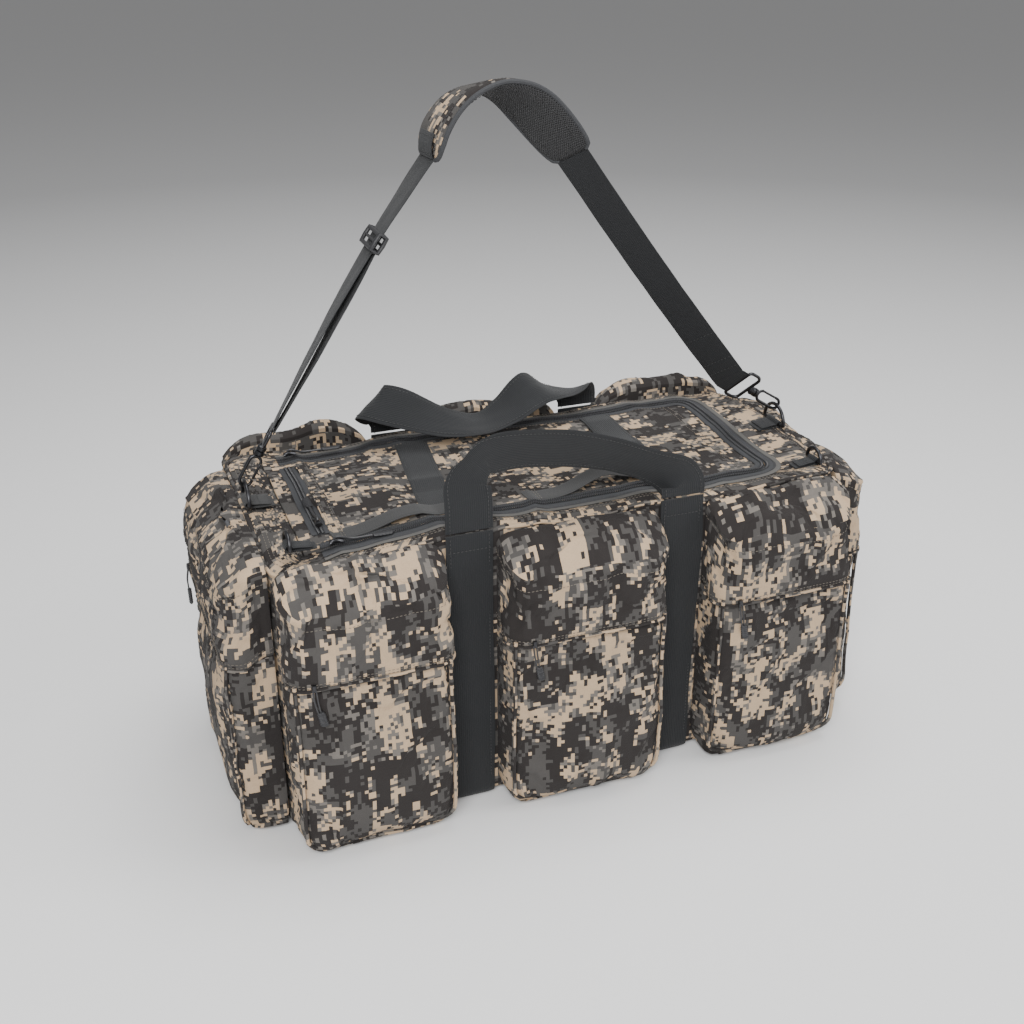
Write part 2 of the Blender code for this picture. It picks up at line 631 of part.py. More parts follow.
def make_hook(name, tilt):
    frame = hook_frame(name)
    gap = RING_WIRE / 2 + FIT_GAP
    low = -gap - HOOK_WIRE
    outer = slot_outline(HOOK_HALF_WIDTH, low, HOOK_EYE_LENGTH, 0.0075)
    hook = add_object(f"{name}_hook", slab(outer, HOOK_THICKNESS, frame), "black_metal")
    inner = slot_outline(
        HOOK_HALF_WIDTH - HOOK_WIRE, -gap, HOOK_EYE_LENGTH - HOOK_WIRE, 0.0042
    )
    cut(hook, slab(inner, HOOK_THICKNESS * 2, frame), f"cut_{name}_eye")
    inside = HOOK_HALF_WIDTH - HOOK_WIRE - 0.0003
    mouth = [(inside, GATE_FROM), (0.02, GATE_FROM), (0.02, GATE_TO), (inside, GATE_TO)]
    cut(hook, slab(mouth, HOOK_THICKNESS * 2, frame), f"cut_{name}_mouth")

    pivot = Vector((HOOK_HALF_WIDTH - HOOK_WIRE / 2, 0, GATE_TO - 0.0026))
    half = HOOK_WIRE / 2 - 0.0003
    low_end = GATE_FROM + 0.0004 - pivot.z
    high_end = GATE_TO - 0.0008 - pivot.z
    bar = [(half, low_end), (half, high_end), (-half, high_end), (-half, low_end)]
    gate = slab(bar, HOOK_THICKNESS * 0.8, frame.to_3x3().to_4x4())
    add_object(f"{name}_hook_gate", gate, "black_metal", frame @ pivot)

    side = frame.to_3x3().inverted() @ tilt_side(hook_end(name)[1], tilt)
    side.z = 0
    side.normalize()
    turn = Matrix.Rotation(math.atan2(side.y, side.x), 4, "Z")
    swivel_frame = frame @ turn
    half_frame = STRAP_WEBBING / 2 + 0.0045
    wire = SWIVEL_WIRE
    start = HOOK_EYE_LENGTH + FIT_GAP
    loop_low = start + 0.012
    outline = slot_outline(half_frame, loop_low, HOOK_BAR_AT + wire / 2, 0.004, 2)
    swivel = add_object(f"{name}_hook_swivel", slab(outline, wire, swivel_frame), "black_metal")
    hole = slot_outline(half_frame - wire, loop_low + wire, HOOK_BAR_AT - wire / 2, 0.0015, 2)
    cut(swivel, slab(hole, wire * 2, swivel_frame), f"cut_{name}_swivel")
    stem_rings = []
    for radius, height in ((0.0052, start), (0.0052, start + 0.006), (0.003, loop_low + 0.001)):
        circle = arc(0, 0, radius, 0, 330, 11)
        stem_rings.append([(x, y, height) for x, y in circle])
    stem = loft(stem_rings)
    stem.transform(swivel_frame)
    stem_object = add_object(f"add_{name}_stem", stem, "black_metal")
    stem_object.hide_render = True
    stem_object.display_type = "WIRE"
    union = swivel.modifiers.new("stem", "BOOLEAN")
    union.operation = "UNION"
    union.solver = "EXACT"
    union.object = stem_object


def tilt_side(tangent, tilt):
    """The width direction of strap webbing that is tipped about its run by tilt degrees."""
    inner = Vector((tangent.z, 0, -tangent.x))
    angle = math.radians(tilt)
    return Vector((0, 1, 0)) * math.cos(angle) + inner * math.sin(angle)


def hook_end(name):
    """Where webbing starts beyond a hook's bar, and the way it leaves."""
    frame = hook_frame(name)
    start = frame @ Vector((0, 0, HOOK_BAR_AT + SWIVEL_WIRE / 2 + FIT_GAP))
    return start, (frame.to_3x3() @ Vector((0, 0, 1))).normalized()


def strap_piece(path, tilts, width, thickness, lift=0.0):
    """A strip in the strap's upright plane; lift moves it off its line, to the outside."""
    rows = []
    sides = []
    count = len(path)
    for i, point in enumerate(path):
        tangent = (path[min(i + 1, count - 1)] - path[max(i - 1, 0)]).normalized()
        side = tilt_side(tangent, tilts[i])
        normal = tangent.cross(side)
        rows.append(point + normal * lift)
        sides.append(tuple(side))
    return ribbon(rows, sides, width, thickness)


def sagging_run(start, end, sag):
    """Points from start to end that hang below the straight line, or bow over it."""
    rows = []
    for i in range(RUN_STEPS + 1):
        share = i / RUN_STEPS
        rows.append(start.lerp(end, share) - Vector((0, 0, sag * math.sin(math.pi * share))))
    return rows


def spread(ends):
    """Even steps between two tilts, one for each point of a run."""
    return [ends[0] + (ends[1] - ends[0]) * i / RUN_STEPS for i in range(RUN_STEPS + 1)]


def make_strap():
    reach = BODY_LENGTH / 2
    rows = smooth_path([(x * reach, DECK_Z + z * reach, tilt) for x, z, tilt in PAD_ARCH], 3)
    arch = [Vector((x, 0, z)) for x, z, _ in rows]
    left_start, _ = hook_end("left")
    right_start, right_lead = hook_end("right")
    left_way = (arch[0] - left_start).normalized()
    right_way = (arch[-1] - right_start).normalized()

    left_end = arch[0] - left_way * FIT_GAP * 2
    path = sagging_run(left_start, left_end, -LEFT_BOW)
    strap = strap_piece(path, spread(LEFT_TILTS), STRAP_WEBBING, STRAP_THICKNESS)
    add_object("strap_webbing_left", strap, "dark_webbing")

    step = math.floor(ADJUSTER_SHARE * RUN_STEPS)
    adjuster_at = path[step].lerp(path[step + 1], ADJUSTER_SHARE * RUN_STEPS - step)
    adjuster_way = (path[step + 1] - path[step]).normalized()
    adjuster_tilt = LEFT_TILTS[0] + (LEFT_TILTS[1] - LEFT_TILTS[0]) * ADJUSTER_SHARE
    path = sagging_run(left_start, adjuster_at - adjuster_way * 0.014, RETURN_SAG)
    tilts = spread((LEFT_TILTS[0], adjuster_tilt))
    back = strap_piece(path, tilts, STRAP_WEBBING * 0.96, STRAP_THICKNESS, lift=-0.0030)
    add_object("strap_return", back, "dark_webbing")

    lead = right_start + right_lead * HOOK_LEAD
    right_end = arch[-1] - right_way * FIT_GAP * 8
    path = [right_start] + sagging_run(lead, right_end, RIGHT_SAG)
    tilts = [RIGHT_TILTS[0]] + spread(RIGHT_TILTS)
    strap = strap_piece(path, tilts, STRAP_WEBBING, STRAP_THICKNESS)
    add_object("strap_webbing_right", strap, "dark_webbing")

    last = len(rows) - 1
    widths = []
    for i in range(len(rows)):
        from_end = min(i, last - i) / last
        bulge = math.sqrt(max(0.0, 1 - (1 - min(1, from_end * 5)) ** 2))
        widths.append(STRAP_WEBBING + (PAD_WIDTH - STRAP_WEBBING) * bulge)
    pad = strap_piece(arch, [row[2] for row in rows], widths, PAD_THICKNESS)
    add_object("shoulder_pad", pad, "camouflage_cloth")

    make_adjuster(adjuster_at, adjuster_way, adjuster_tilt)


def make_adjuster(centre, way, tilt):
    """The slider that the strap's length is set with: a frame around the webbing."""
    through = tilt_side(way, tilt)
    normal = way.cross(through)
    frame = Matrix((through, -normal, way)).transposed().to_4x4()
    half = STRAP_WEBBING / 2 + 0.004
    outline = slot_outline(half, -0.009, 0.009, 0.003, 2)
    body = slab(outline, 0.011, frame)
    adjuster = add_object("strap_adjuster", body, "black_plastic", centre)
    gap = 0.0022
    slot = [(half - 0.003, -gap), (half - 0.003, gap), (-half + 0.003, gap), (-half + 0.003, -gap)]
    rings = [[(x, y, z) for x, y in slot] for z in (-0.02, 0.02)]
    solid = loft(rings)
    solid.transform(Matrix.Translation(centre) @ frame)
    cut(adjuster, solid, "cut_adjuster_slot")


# ---------------------------------------------------------------- all together
def main():
    for obj in list(bpy.data.objects):
        bpy.data.objects.remove(obj, do_unlink=True)
    for name, (colour, roughness, metallic) in FINISHES.items():
        MATERIALS[name] = finish(name, colour, roughness, metallic)
    make_main_shell()
    make_base_board()
    make_pockets()
    make_girth_band("girth_band_left", -HALF_BAND)
    make_girth_band("girth_band_right", HALF_BAND)
    make_handles()
    make_lid_panel()
    make_zip_half("deck_zip_half", ZIP_HALF_WIDTH / 2 + FIT_GAP)
    make_zip_half("lid_zip_half", -ZIP_HALF_WIDTH / 2 - FIT_GAP)
    make_main_sliders()
    make_lid_fittings()
    make_rings()
    make_hook("left", LEFT_TILTS[0])
    make_hook("right", RIGHT_TILTS[0])
    make_strap()


main()
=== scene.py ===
"""Looks of a soft camouflage duffel bag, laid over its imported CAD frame."""
import json
import math

import bmesh
import bpy
from mathutils import Matrix, Vector, noise

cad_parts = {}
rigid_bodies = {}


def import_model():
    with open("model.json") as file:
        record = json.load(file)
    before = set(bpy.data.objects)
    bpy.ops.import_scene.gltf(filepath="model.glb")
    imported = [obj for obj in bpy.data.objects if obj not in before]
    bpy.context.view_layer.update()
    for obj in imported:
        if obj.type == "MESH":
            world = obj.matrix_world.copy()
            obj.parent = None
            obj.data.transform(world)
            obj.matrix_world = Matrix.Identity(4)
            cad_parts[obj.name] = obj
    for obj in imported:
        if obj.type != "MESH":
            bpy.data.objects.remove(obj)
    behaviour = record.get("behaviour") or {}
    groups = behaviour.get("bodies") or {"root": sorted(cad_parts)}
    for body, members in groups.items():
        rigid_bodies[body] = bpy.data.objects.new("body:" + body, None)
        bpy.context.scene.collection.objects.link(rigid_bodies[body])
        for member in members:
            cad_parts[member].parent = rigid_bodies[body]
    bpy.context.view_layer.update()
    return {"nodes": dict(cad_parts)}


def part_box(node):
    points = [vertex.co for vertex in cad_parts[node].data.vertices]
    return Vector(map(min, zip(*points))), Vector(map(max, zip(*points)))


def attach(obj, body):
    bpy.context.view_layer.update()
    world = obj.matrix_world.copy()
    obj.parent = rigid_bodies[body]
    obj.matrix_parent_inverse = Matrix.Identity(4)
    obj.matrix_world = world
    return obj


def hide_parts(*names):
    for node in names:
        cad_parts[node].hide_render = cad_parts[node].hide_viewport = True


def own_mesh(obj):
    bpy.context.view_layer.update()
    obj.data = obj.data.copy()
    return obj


bl_info = {
    "name": "Duffel bag looks",
    "version": (1, 0, 0),
    "blender": (4, 5, 0),
    "location": "3D View > Sidebar > Duffel",
    "description": "Builds the cloth, webbing, zips and fittings of a duffel bag",
    "category": "Object",
}

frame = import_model()

# ---------------------------------------------------------------- sizes read from the frame
SHELL_LOW, SHELL_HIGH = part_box("main_shell")
LID_LOW, LID_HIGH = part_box("lid_panel")
RING_LOW, RING_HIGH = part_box("right_end_ring")
BAND_LOW, BAND_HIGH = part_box("girth_band_right")
DECK = SHELL_HIGH[2]
HALF_LENGTH = SHELL_HIGH[0]
HALF_WIDTH = SHELL_HIGH[1]
BAND_X = (BAND_LOW[0] + BAND_HIGH[0]) / 2
WIDE_WEBBING = BAND_HIGH[0] - BAND_LOW[0]
BAND_Y = BAND_HIGH[1] - 0.00125
WEBBING = 0.0022
LID_HALF = LID_HIGH[1]
LID_CORNER = 0.024
CORNER = 0.030
RING_X = (RING_LOW[0] + RING_HIGH[0]) / 2
RING_TOP = RING_HIGH[2] - 0.002
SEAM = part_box("front_middle_pocket")[1][2]
POCKETS = {
    "front_left": 0.0, "front_middle": 0.0, "front_right": 0.0,
    "rear_left": math.pi, "rear_middle": math.pi, "rear_right": math.pi,
    "left_end": -math.pi / 2, "right_end": math.pi / 2,
}


# ---------------------------------------------------------------- settings
class DuffelSizes(bpy.types.PropertyGroup):
    """Sizes of the cloth's print, folds and thread"""

    print_cell: bpy.props.FloatProperty(
        name="Print Cell", description="Side of one square of the printed camouflage",
        default=0.0038, min=0.001, unit="LENGTH")
    fold_depth: bpy.props.FloatProperty(
        name="Fold Depth", description="How far the cloth's broad folds stand out",
        default=0.0048, min=0.0, unit="LENGTH")
    crease_depth: bpy.props.FloatProperty(
        name="Crease Depth", description="How far the cloth's small creases stand out",
        default=0.0020, min=0.0, unit="LENGTH")
    stitch_pitch: bpy.props.FloatProperty(
        name="Stitch Pitch", description="Distance from one stitch to the next",
        default=0.0042, min=0.001, unit="LENGTH")
    tooth_pitch: bpy.props.FloatProperty(
        name="Tooth Pitch", description="Distance from one turn of a zip coil to the next",
        default=0.0021, min=0.0005, unit="LENGTH")


class DuffelColours(bpy.types.PropertyGroup):
    """Colours of the bag's cloth, webbing and fittings"""

    tan: bpy.props.FloatVectorProperty(
        name="Tan", description="Ground colour of the print", subtype="COLOR",
        default=(0.58, 0.425, 0.280), min=0, max=1)
    charcoal: bpy.props.FloatVectorProperty(
        name="Charcoal", description="Darkest colour of the print", subtype="COLOR",
        default=(0.030, 0.026, 0.025), min=0, max=1)
    mid_grey: bpy.props.FloatVectorProperty(
        name="Mid Grey", description="Middle grey of the print", subtype="COLOR",
        default=(0.082, 0.077, 0.073), min=0, max=1)
    light_grey: bpy.props.FloatVectorProperty(
        name="Light Grey", description="Palest grey of the print", subtype="COLOR",
        default=(0.185, 0.168, 0.150), min=0, max=1)
    webbing: bpy.props.FloatVectorProperty(
        name="Webbing", description="Colour of the webbing", subtype="COLOR",
        default=(0.0135, 0.0145, 0.016), min=0, max=1)
    lash: bpy.props.FloatVectorProperty(
        name="Lash Webbing", description="Colour of the narrow webbing on the lid", subtype="COLOR",
        default=(0.036, 0.036, 0.036), min=0, max=1)


def sizes():
    return bpy.context.scene.duffel_sizes


def colours():
    return bpy.context.scene.duffel_colours


# ---------------------------------------------------------------- shader expressions
class Socket:
    """An output socket that takes part in Python expressions."""

    def __init__(self, shader, socket):
        self.shader = shader
        self.socket = socket

    def _math(self, operation, *values):
        return self.shader.node("ShaderNodeMath", {"operation": operation}, *values)

    def __add__(self, other):
        return self._math("ADD", self, other)

    __radd__ = __add__

    def __sub__(self, other):
        return self._math("SUBTRACT", self, other)

    def __rsub__(self, other):
        return self._math("SUBTRACT", other, self)

    def __mul__(self, other):
        return self._math("MULTIPLY", self, other)

    __rmul__ = __mul__

    def __truediv__(self, other):
        return self._math("DIVIDE", self, other)

    def above(self, limit):
        return self._math("GREATER_THAN", self, limit)

    def floor(self):
        return self._math("FLOOR", self)

    def sine(self):
        return self._math("SINE", self)


class Shader:
    """A node material on one Principled BSDF."""

    def __init__(self, name, **constants):
        self.material = bpy.data.materials.new(name)
        self.material.use_nodes = True
        self.tree = self.material.node_tree
        self.principled = self.tree.nodes["Principled BSDF"]
        for key, value in constants.items():
            self.principled.inputs[key.replace("_", " ")].default_value = value

    def node(self, kind, settings, *values, output=0, **named):
        """Adds a node: its settings first, then its sockets by order or by name."""
        node = self.tree.nodes.new(kind)
        for key, value in settings.items():
            setattr(node, key, value)
        for key, value in list(enumerate(values)) + list(named.items()):
            target = node.inputs[key.replace("_", " ") if isinstance(key, str) else key]
            if isinstance(value, Socket):
                self.tree.links.new(value.socket, target)
            else:
                target.default_value = value
        return Socket(self, node.outputs[output])

    def split(self, vector):
        """The three numbers of a vector."""
        first = self.node("ShaderNodeSeparateXYZ", {}, vector)
        return [Socket(self, out) for out in first.socket.node.outputs]

    def join(self, x, y, z):
        return self.node("ShaderNodeCombineXYZ", {}, x, y, z)

    def grain(self, vector, scale, detail=2.0, roughness=0.5):
        return self.node("ShaderNodeTexNoise", {}, Vector=vector, Scale=scale,
                         Detail=detail, Roughness=roughness)

    def mix(self, factor, first, second):
        """A colour between two colours."""
        node = self.tree.nodes.new("ShaderNodeMix")
        node.data_type = "RGBA"
        for index, value in ((0, factor), (6, first), (7, second)):
            if isinstance(value, Socket):
                self.tree.links.new(value.socket, node.inputs[index])
            elif index:
                node.inputs[index].default_value = (*tuple(value)[:3], 1.0)
            else:
                node.inputs[index].default_value = value
        return Socket(self, node.outputs[2])

    def set(self, name, value):
        self.tree.links.new(value.socket, self.principled.inputs[name])

    def bump(self, height, depth, strength=1.0):
        """Raises the surface by height times depth metres."""
        normal = self.node("ShaderNodeBump", {}, Height=height, Distance=depth, Strength=strength)
        self.set("Normal", normal)


MATERIALS = {}


def material(name):
    """The named material, made on first use."""
    if name not in MATERIALS:
        MATERIALS[name] = MAKERS[name](name)
    return MATERIALS[name]


def printed_cloth(name):
    """Woven cloth with a printed camouflage of square cells, laid by the piece's own UV map."""
    shader = Shader(name, Roughness=0.86, Sheen_Weight=0.03, Specular_IOR_Level=0.18)
    uv = shader.node("ShaderNodeUVMap", {"uv_map": "Print"})
    across, along, _ = shader.split(uv)
    cell = sizes().print_cell
    column = (across / cell).floor()
    row = (along / cell).floor()
    ragged = shader.node("ShaderNodeTexWhiteNoise", {}, Vector=shader.join(column, row, 0.0))
    dither = ragged - 0.5
    blot = shader.grain(shader.join(column * 0.150, row * 0.078, 3.7), 1.0, 3.0, 0.66)
    flow = shader.grain(shader.join(column * 0.165, row * 0.085, 11.3), 1.0, 3.0, 0.66)
    field = blot + dither * 0.11
    second = flow + dither * 0.13
    colour = shader.mix(second.above(0.500), colours().tan, colours().light_grey)
    colour = shader.mix(second.above(0.555), colour, colours().mid_grey)
    colour = shader.mix(field.above(0.505), colour, colours().charcoal)
    speck = (1 - second.above(0.44)) * field.above(0.455)
    colour = shader.mix(speck, colour, colours().mid_grey)
    place = shader.node("ShaderNodeTexCoord", {}, output=3)
    faded = shader.grain(place, 9.0, 3.0)
    yarn = shader.grain(place, 900.0, 1.0)
    shade = faded * 0.26 + yarn * 0.30 - 0.20
    colour = shader.mix(shade, colour, (0.02, 0.018, 0.016))
    shader.set("Base Color", colour)
    thread = 2 * math.pi / 0.0014
    weave = (across * thread).sine() * (along * thread).sine()
    soft = shader.grain(place, 55.0, 3.0)
    shader.bump(weave * 0.25 + soft * 2.4 + yarn * 0.5, 0.0008)
    shader.set("Roughness", 0.80 + faded * 0.14)
    return shader.material


def webbing_cloth(name, colour_name="webbing"):
    """Ribbed webbing: ribs run along its length, with short floats of yarn across them."""
    shader = Shader(name, Roughness=0.78, Sheen_Weight=0.10, Specular_IOR_Level=0.30)
    uv = shader.node("ShaderNodeUVMap", {"uv_map": "Print"})
    across, along, _ = shader.split(uv)
    rib = (across * (2 * math.pi / 0.0022)).sine() * 0.5 + 0.5
    pick = (along * (2 * math.pi / 0.0017) + rib * math.pi).sine() * 0.5 + 0.5
    place = shader.node("ShaderNodeTexCoord", {}, output=3)
    dust = shader.grain(place, 700.0, 1.0)
    worn = shader.grain(place, 14.0, 3.0)
    base = getattr(colours(), colour_name)
    pale = [min(1.0, channel * 1.9) for channel in base]
    colour = shader.mix(rib * 0.30 + pick * 0.20 + dust * 0.24 - 0.18, base, pale)
    colour = shader.mix(worn * 0.30, colour, [channel * 0.55 for channel in base])
    shader.set("Base Color", colour)
    shader.set("Roughness", 0.70 + dust * 0.18)
    shader.bump(rib * 0.6 + pick * 0.4 + dust * 0.3, 0.0004)
    return shader.material


def lash_cloth(name):
    return webbing_cloth(name, "lash")


def plain(name, colour, roughness, grain_scale, depth, metallic=0.0, coat=0.0):
    """A plain finish whose colour, roughness and surface vary a little."""
    shader = Shader(name, Metallic=metallic, Coat_Weight=coat, Coat_Roughness=0.3)
    place = shader.node("ShaderNodeTexCoord", {}, output=3)
    fine = shader.grain(place, grain_scale, 3.0)
    broad = shader.grain(place, grain_scale / 12, 2.0)
    pale = [min(1.0, channel * 1.7 + 0.008) for channel in colour]
    shader.set("Base Color", shader.mix(fine * 0.5 + broad * 0.5 - 0.2, colour, pale))
    shader.set("Roughness", roughness - 0.1 + broad * 0.2)
    shader.bump(fine, depth)
    return shader.material


def lining(name):
    return plain(name, (0.045, 0.046, 0.05), 0.8, 700.0, 0.0003)


def zip_tape(name):
    return plain(name, (0.030, 0.031, 0.034), 0.85, 900.0, 0.0004)


def grey_tape(name):
    return plain(name, (0.075, 0.072, 0.067), 0.85, 900.0, 0.0004)


def zip_coil(name):
    return plain(name, (0.020, 0.020, 0.022), 0.42, 500.0, 0.0001, coat=0.15)


def moulded(name):
    return plain(name, (0.016, 0.016, 0.018), 0.5, 900.0, 0.0001)


def coated_metal(name):
    return plain(name, (0.030, 0.030, 0.033), 0.34, 600.0, 0.00005, metallic=0.85, coat=0.2)


def thread(name):
    return plain(name, (0.040, 0.040, 0.040), 0.7, 900.0, 0.0001)


def pale_thread(name):
    return plain(name, (0.13, 0.112, 0.092), 0.7, 900.0, 0.0001)


def mesh_lining(name):
    """Spacer mesh under the shoulder pad."""
    shader = Shader(name, Roughness=0.85)
    uv = shader.node("ShaderNodeUVMap", {"uv_map": "Print"})
    across, along, _ = shader.split(uv)
    hole = (across * (2 * math.pi / 0.0032)).sine() * (along * (2 * math.pi / 0.0032)).sine()
    # The holes are painted near-black: painted shade inside the mesh's holes.
    shader.set("Base Color", shader.mix(hole.above(0.25), (0.05, 0.05, 0.052), (0.008, 0.008, 0.009)))
    shader.bump(hole, 0.0008)
    return shader.material


def board(name):
    return plain(name, (0.10, 0.10, 0.10), 0.6, 300.0, 0.0002)


MAKERS = {
    "camouflage_cloth": printed_cloth, "dark_webbing": webbing_cloth, "lash_webbing": lash_cloth,
    "lining": lining, "zip_tape": zip_tape, "grey_tape": grey_tape, "zip_coil": zip_coil,
    "moulded": moulded, "coated_metal": coated_metal, "thread": thread,
    "pale_thread": pale_thread, "mesh_lining": mesh_lining, "board": board,
}


# ---------------------------------------------------------------- soft shape functions
def ease(value, low, high):
    """0 below low, 1 above high, smooth between."""
    share = max(0.0, min(1.0, (value - low) / (high - low)))
    return share * share * (3 - 2 * share)


def fold(x, y, z, scale, seed=0.0):
    """A smooth random value about zero."""
    return noise.noise(Vector((x * scale + seed, y * scale - seed, z * scale + 2 * seed)))


def crease(x, y, z, scale, seed=0.0):
    """Sharp random ridges, as cloth makes, from 0 to 1."""
    return 1 - min(1.0, abs(fold(x, y, z, scale, seed)) * 3.2)


def relief(x, y):
    """How far the slack top of the bag stands above or below its level."""
    broad = fold(x, y, 0, 7.5, 4.1) * sizes().fold_depth * 1.7
    fine = (crease(x, y * 0.6, 0, 15, 8.2) - 0.4) * sizes().crease_depth * 1.6
    corner = math.exp(-((x + 0.31) / 0.13) ** 2 - ((y + 0.14) / 0.075) ** 2)
    return broad + fine - 0.011 * corner


def settle(point):
    """Moves what belongs to the top of the bag with its relief."""
    weight = ease(point.z, DECK - 0.060, DECK - 0.008) * (1 - ease(point.z, DECK + 0.02, DECK + 0.09))
    if weight:
        point.z += relief(point.x, point.y) * weight
    return point


SWELL_FRAMES = 12


# ---------------------------------------------------------------- mesh makers
def piece(name, mesh_data, materials, body, nodes=(), smooth=35):
    """Turns a bmesh into a finished piece that rides on a body and stands for CAD nodes."""
    mesh = bpy.data.meshes.new(name)
    mesh_data.to_mesh(mesh)
    mesh_data.free()
    obj = bpy.data.objects.new(name, mesh)
    bpy.context.scene.collection.objects.link(obj)
    for entry in materials:
        mesh.materials.append(material(entry))
    mesh.shade_smooth()
    if smooth < 180:
        mesh.set_sharp_from_angle(angle=math.radians(smooth))
    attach(obj, body)
    if nodes:
        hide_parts(*nodes)
    return obj


def skin(rows, closed=True, cap_first=False, cap_last=False, seed=0.0, drift=0.5):
    """A grid of quads through rows of points, with its print laid out in metres."""
    mesh_data = bmesh.new()
    layer = mesh_data.loops.layers.uv.new("Print")
    grid = [[mesh_data.verts.new(point) for point in row] for row in rows]
    count = len(rows[0])
    middle = rows[len(rows) // 2]
    across = [0.0]
    for i in range(count):
        across.append(across[-1] + (Vector(middle[(i + 1) % count]) - Vector(middle[i])).length)
    along = [0.0]
    guide = int(count * drift) % count
    for lower, upper in zip(rows, rows[1:]):
        along.append(along[-1] + (Vector(upper[guide]) - Vector(lower[guide])).length)
    for r in range(len(rows) - 1):
        for i in range(count if closed else count - 1):
            j = (i + 1) % count
            face = mesh_data.faces.new((grid[r][i], grid[r][j], grid[r + 1][j], grid[r + 1][i]))
            spots = ((i, r), (i + 1, r), (i + 1, r + 1), (i, r + 1))
            for loop, (u, v) in zip(face.loops, spots):
                loop[layer].uv = (across[u] + seed, along[v] + seed * 0.37)
    for wanted, row in ((cap_first, grid[0]), (cap_last, grid[-1])):
        if wanted:
            face = mesh_data.faces.new(row)
            for loop in face.loops:
                loop[layer].uv = (loop.vert.co.x + seed, loop.vert.co.y + seed)
    bmesh.ops.recalc_face_normals(mesh_data, faces=mesh_data.faces)
    return mesh_data


def orient(mesh_data, inside):
    """Turns an open skin so that its faces look away from a point inside it."""
    total = 0.0
    for face in mesh_data.faces:
        total += (face.calc_center_median() - inside).dot(face.normal) * face.calc_area()
    if total < 0:
        bmesh.ops.reverse_faces(mesh_data, faces=mesh_data.faces)
    return mesh_data


def swell(obj, held, grow, pressure, most):
    """Cloth simulation: the piece's cloth is cut a little too big, so it puffs and buckles
    between the places where it is held; no point moves further than most."""
    vertices = obj.data.vertices
    start = [vertex.co.copy() for vertex in vertices]
    group = obj.vertex_groups.new(name="held")
    for vertex in vertices:
        group.add([vertex.index], held(vertex.index, vertex.co), "REPLACE")
    cloth = obj.modifiers.new("cloth", "CLOTH")
    cloth.settings.quality = 4
    cloth.settings.mass = 0.15
    cloth.settings.tension_stiffness = 8
    cloth.settings.compression_stiffness = 8
    cloth.settings.shear_stiffness = 3
    cloth.settings.bending_stiffness = 0.05
    cloth.settings.vertex_group_mass = "held"
    cloth.settings.shrink_min = -grow
    cloth.settings.use_pressure = True
    cloth.settings.uniform_pressure_force = pressure
    cloth.settings.effector_weights.gravity = 0
    cloth.collision_settings.use_collision = False
    scene = bpy.context.scene
    for number in range(1, SWELL_FRAMES + 1):
        scene.frame_set(number)
    depsgraph = bpy.context.evaluated_depsgraph_get()
    settled = obj.evaluated_get(depsgraph).data.vertices
    for vertex, before, after in zip(vertices, start, [v.co.copy() for v in settled]):
        moved = after - before
        if moved.length > most:
            moved *= most / moved.length
        vertex.co = before + moved
    obj.modifiers.remove(cloth)
    obj.vertex_groups.remove(group)
    scene.frame_set(1)
    return obj


def thicken(obj, thickness, offset=-1.0, inner=0):
    """Gives a skin its thickness; the inner side can take the next material."""
    modifier = obj.modifiers.new("thickness", "SOLIDIFY")
    modifier.thickness = thickness
    modifier.offset = offset
    modifier.material_offset = inner
    modifier.use_even_offset = False
    return obj


def resample(points, count, closed=True):
    """Evenly spaced points along a polyline."""
    line = [Vector(p) for p in points]
    if closed:
        line.append(line[0].copy())
    lengths = [(b - a).length for a, b in zip(line, line[1:])]
    total = sum(lengths)
    steps = count if closed else count - 1
    out = []
    index = 0
    walked = 0.0
    for i in range(count):
        target = total * i / steps
        while index < len(lengths) - 1 and walked + lengths[index] < target:
            walked += lengths[index]
            index += 1
        share = (target - walked) / max(lengths[index], 1e-9)
        out.append(line[index].lerp(line[index + 1], min(share, 1.0)))
    return out


def arc(cx, cy, radius, start, end, steps=8):
    points = []
    for i in range(steps + 1):
        angle = math.radians(start + (end - start) * i / steps)
        points.append((cx + radius * math.cos(angle), cy + radius * math.sin(angle)))
    return points


def smooth_path(points, steps):
    """A Catmull-Rom curve through given points, which may carry extra values."""
    ends = [points[0]] + list(points) + [points[-1]]
    out = []
    for k in range(1, len(ends) - 2):
        before, here, after, beyond = ends[k - 1 : k + 3]
        for i in range(steps):
            t = i / steps
            out.append([
                0.5 * (2 * b + (c - a) * t + (2 * a - 5 * b + 4 * c - d) * t * t
                       + (3 * b - a - 3 * c + d) * t ** 3)
                for a, b, c, d in zip(before, here, after, beyond)
            ])
    out.append(list(points[-1]))
    return out


def ribbon(path, sides, width, thickness=WEBBING, seed=0.0, crown=0.0, ripple=0.0, columns=9):
    """Webbing along a path: a flat section with rounded edges, its width along sides."""
    rows = []
    count = len(path)
    for i, point in enumerate(path):
        tangent = (path[min(i + 1, count - 1)] - path[max(i - 1, 0)]).normalized()
        side = Vector(sides[i] if isinstance(sides, list) else sides)
        side = (side - side.dot(tangent) * tangent).normalized()
        normal = tangent.cross(side)
        half = (width[i] if isinstance(width, list) else width) / 2
        row = []
        for face in (1, -1):
            for k in range(columns):
                share = face * (1 - 2 * k / (columns - 1))
                edge = math.sqrt(max(0.0, 1 - abs(share) ** 8))
                wave = ripple * fold(point.x, point.y, point.z, 28, seed + share)
                lift = face * thickness / 2 * (0.35 + 0.65 * edge) + crown * (1 - share * share)
                row.append(point + side * (half * share + wave * 0.4) + normal * (lift + wave))
        rows.append(row)
    return skin(rows, True, True, True, seed)


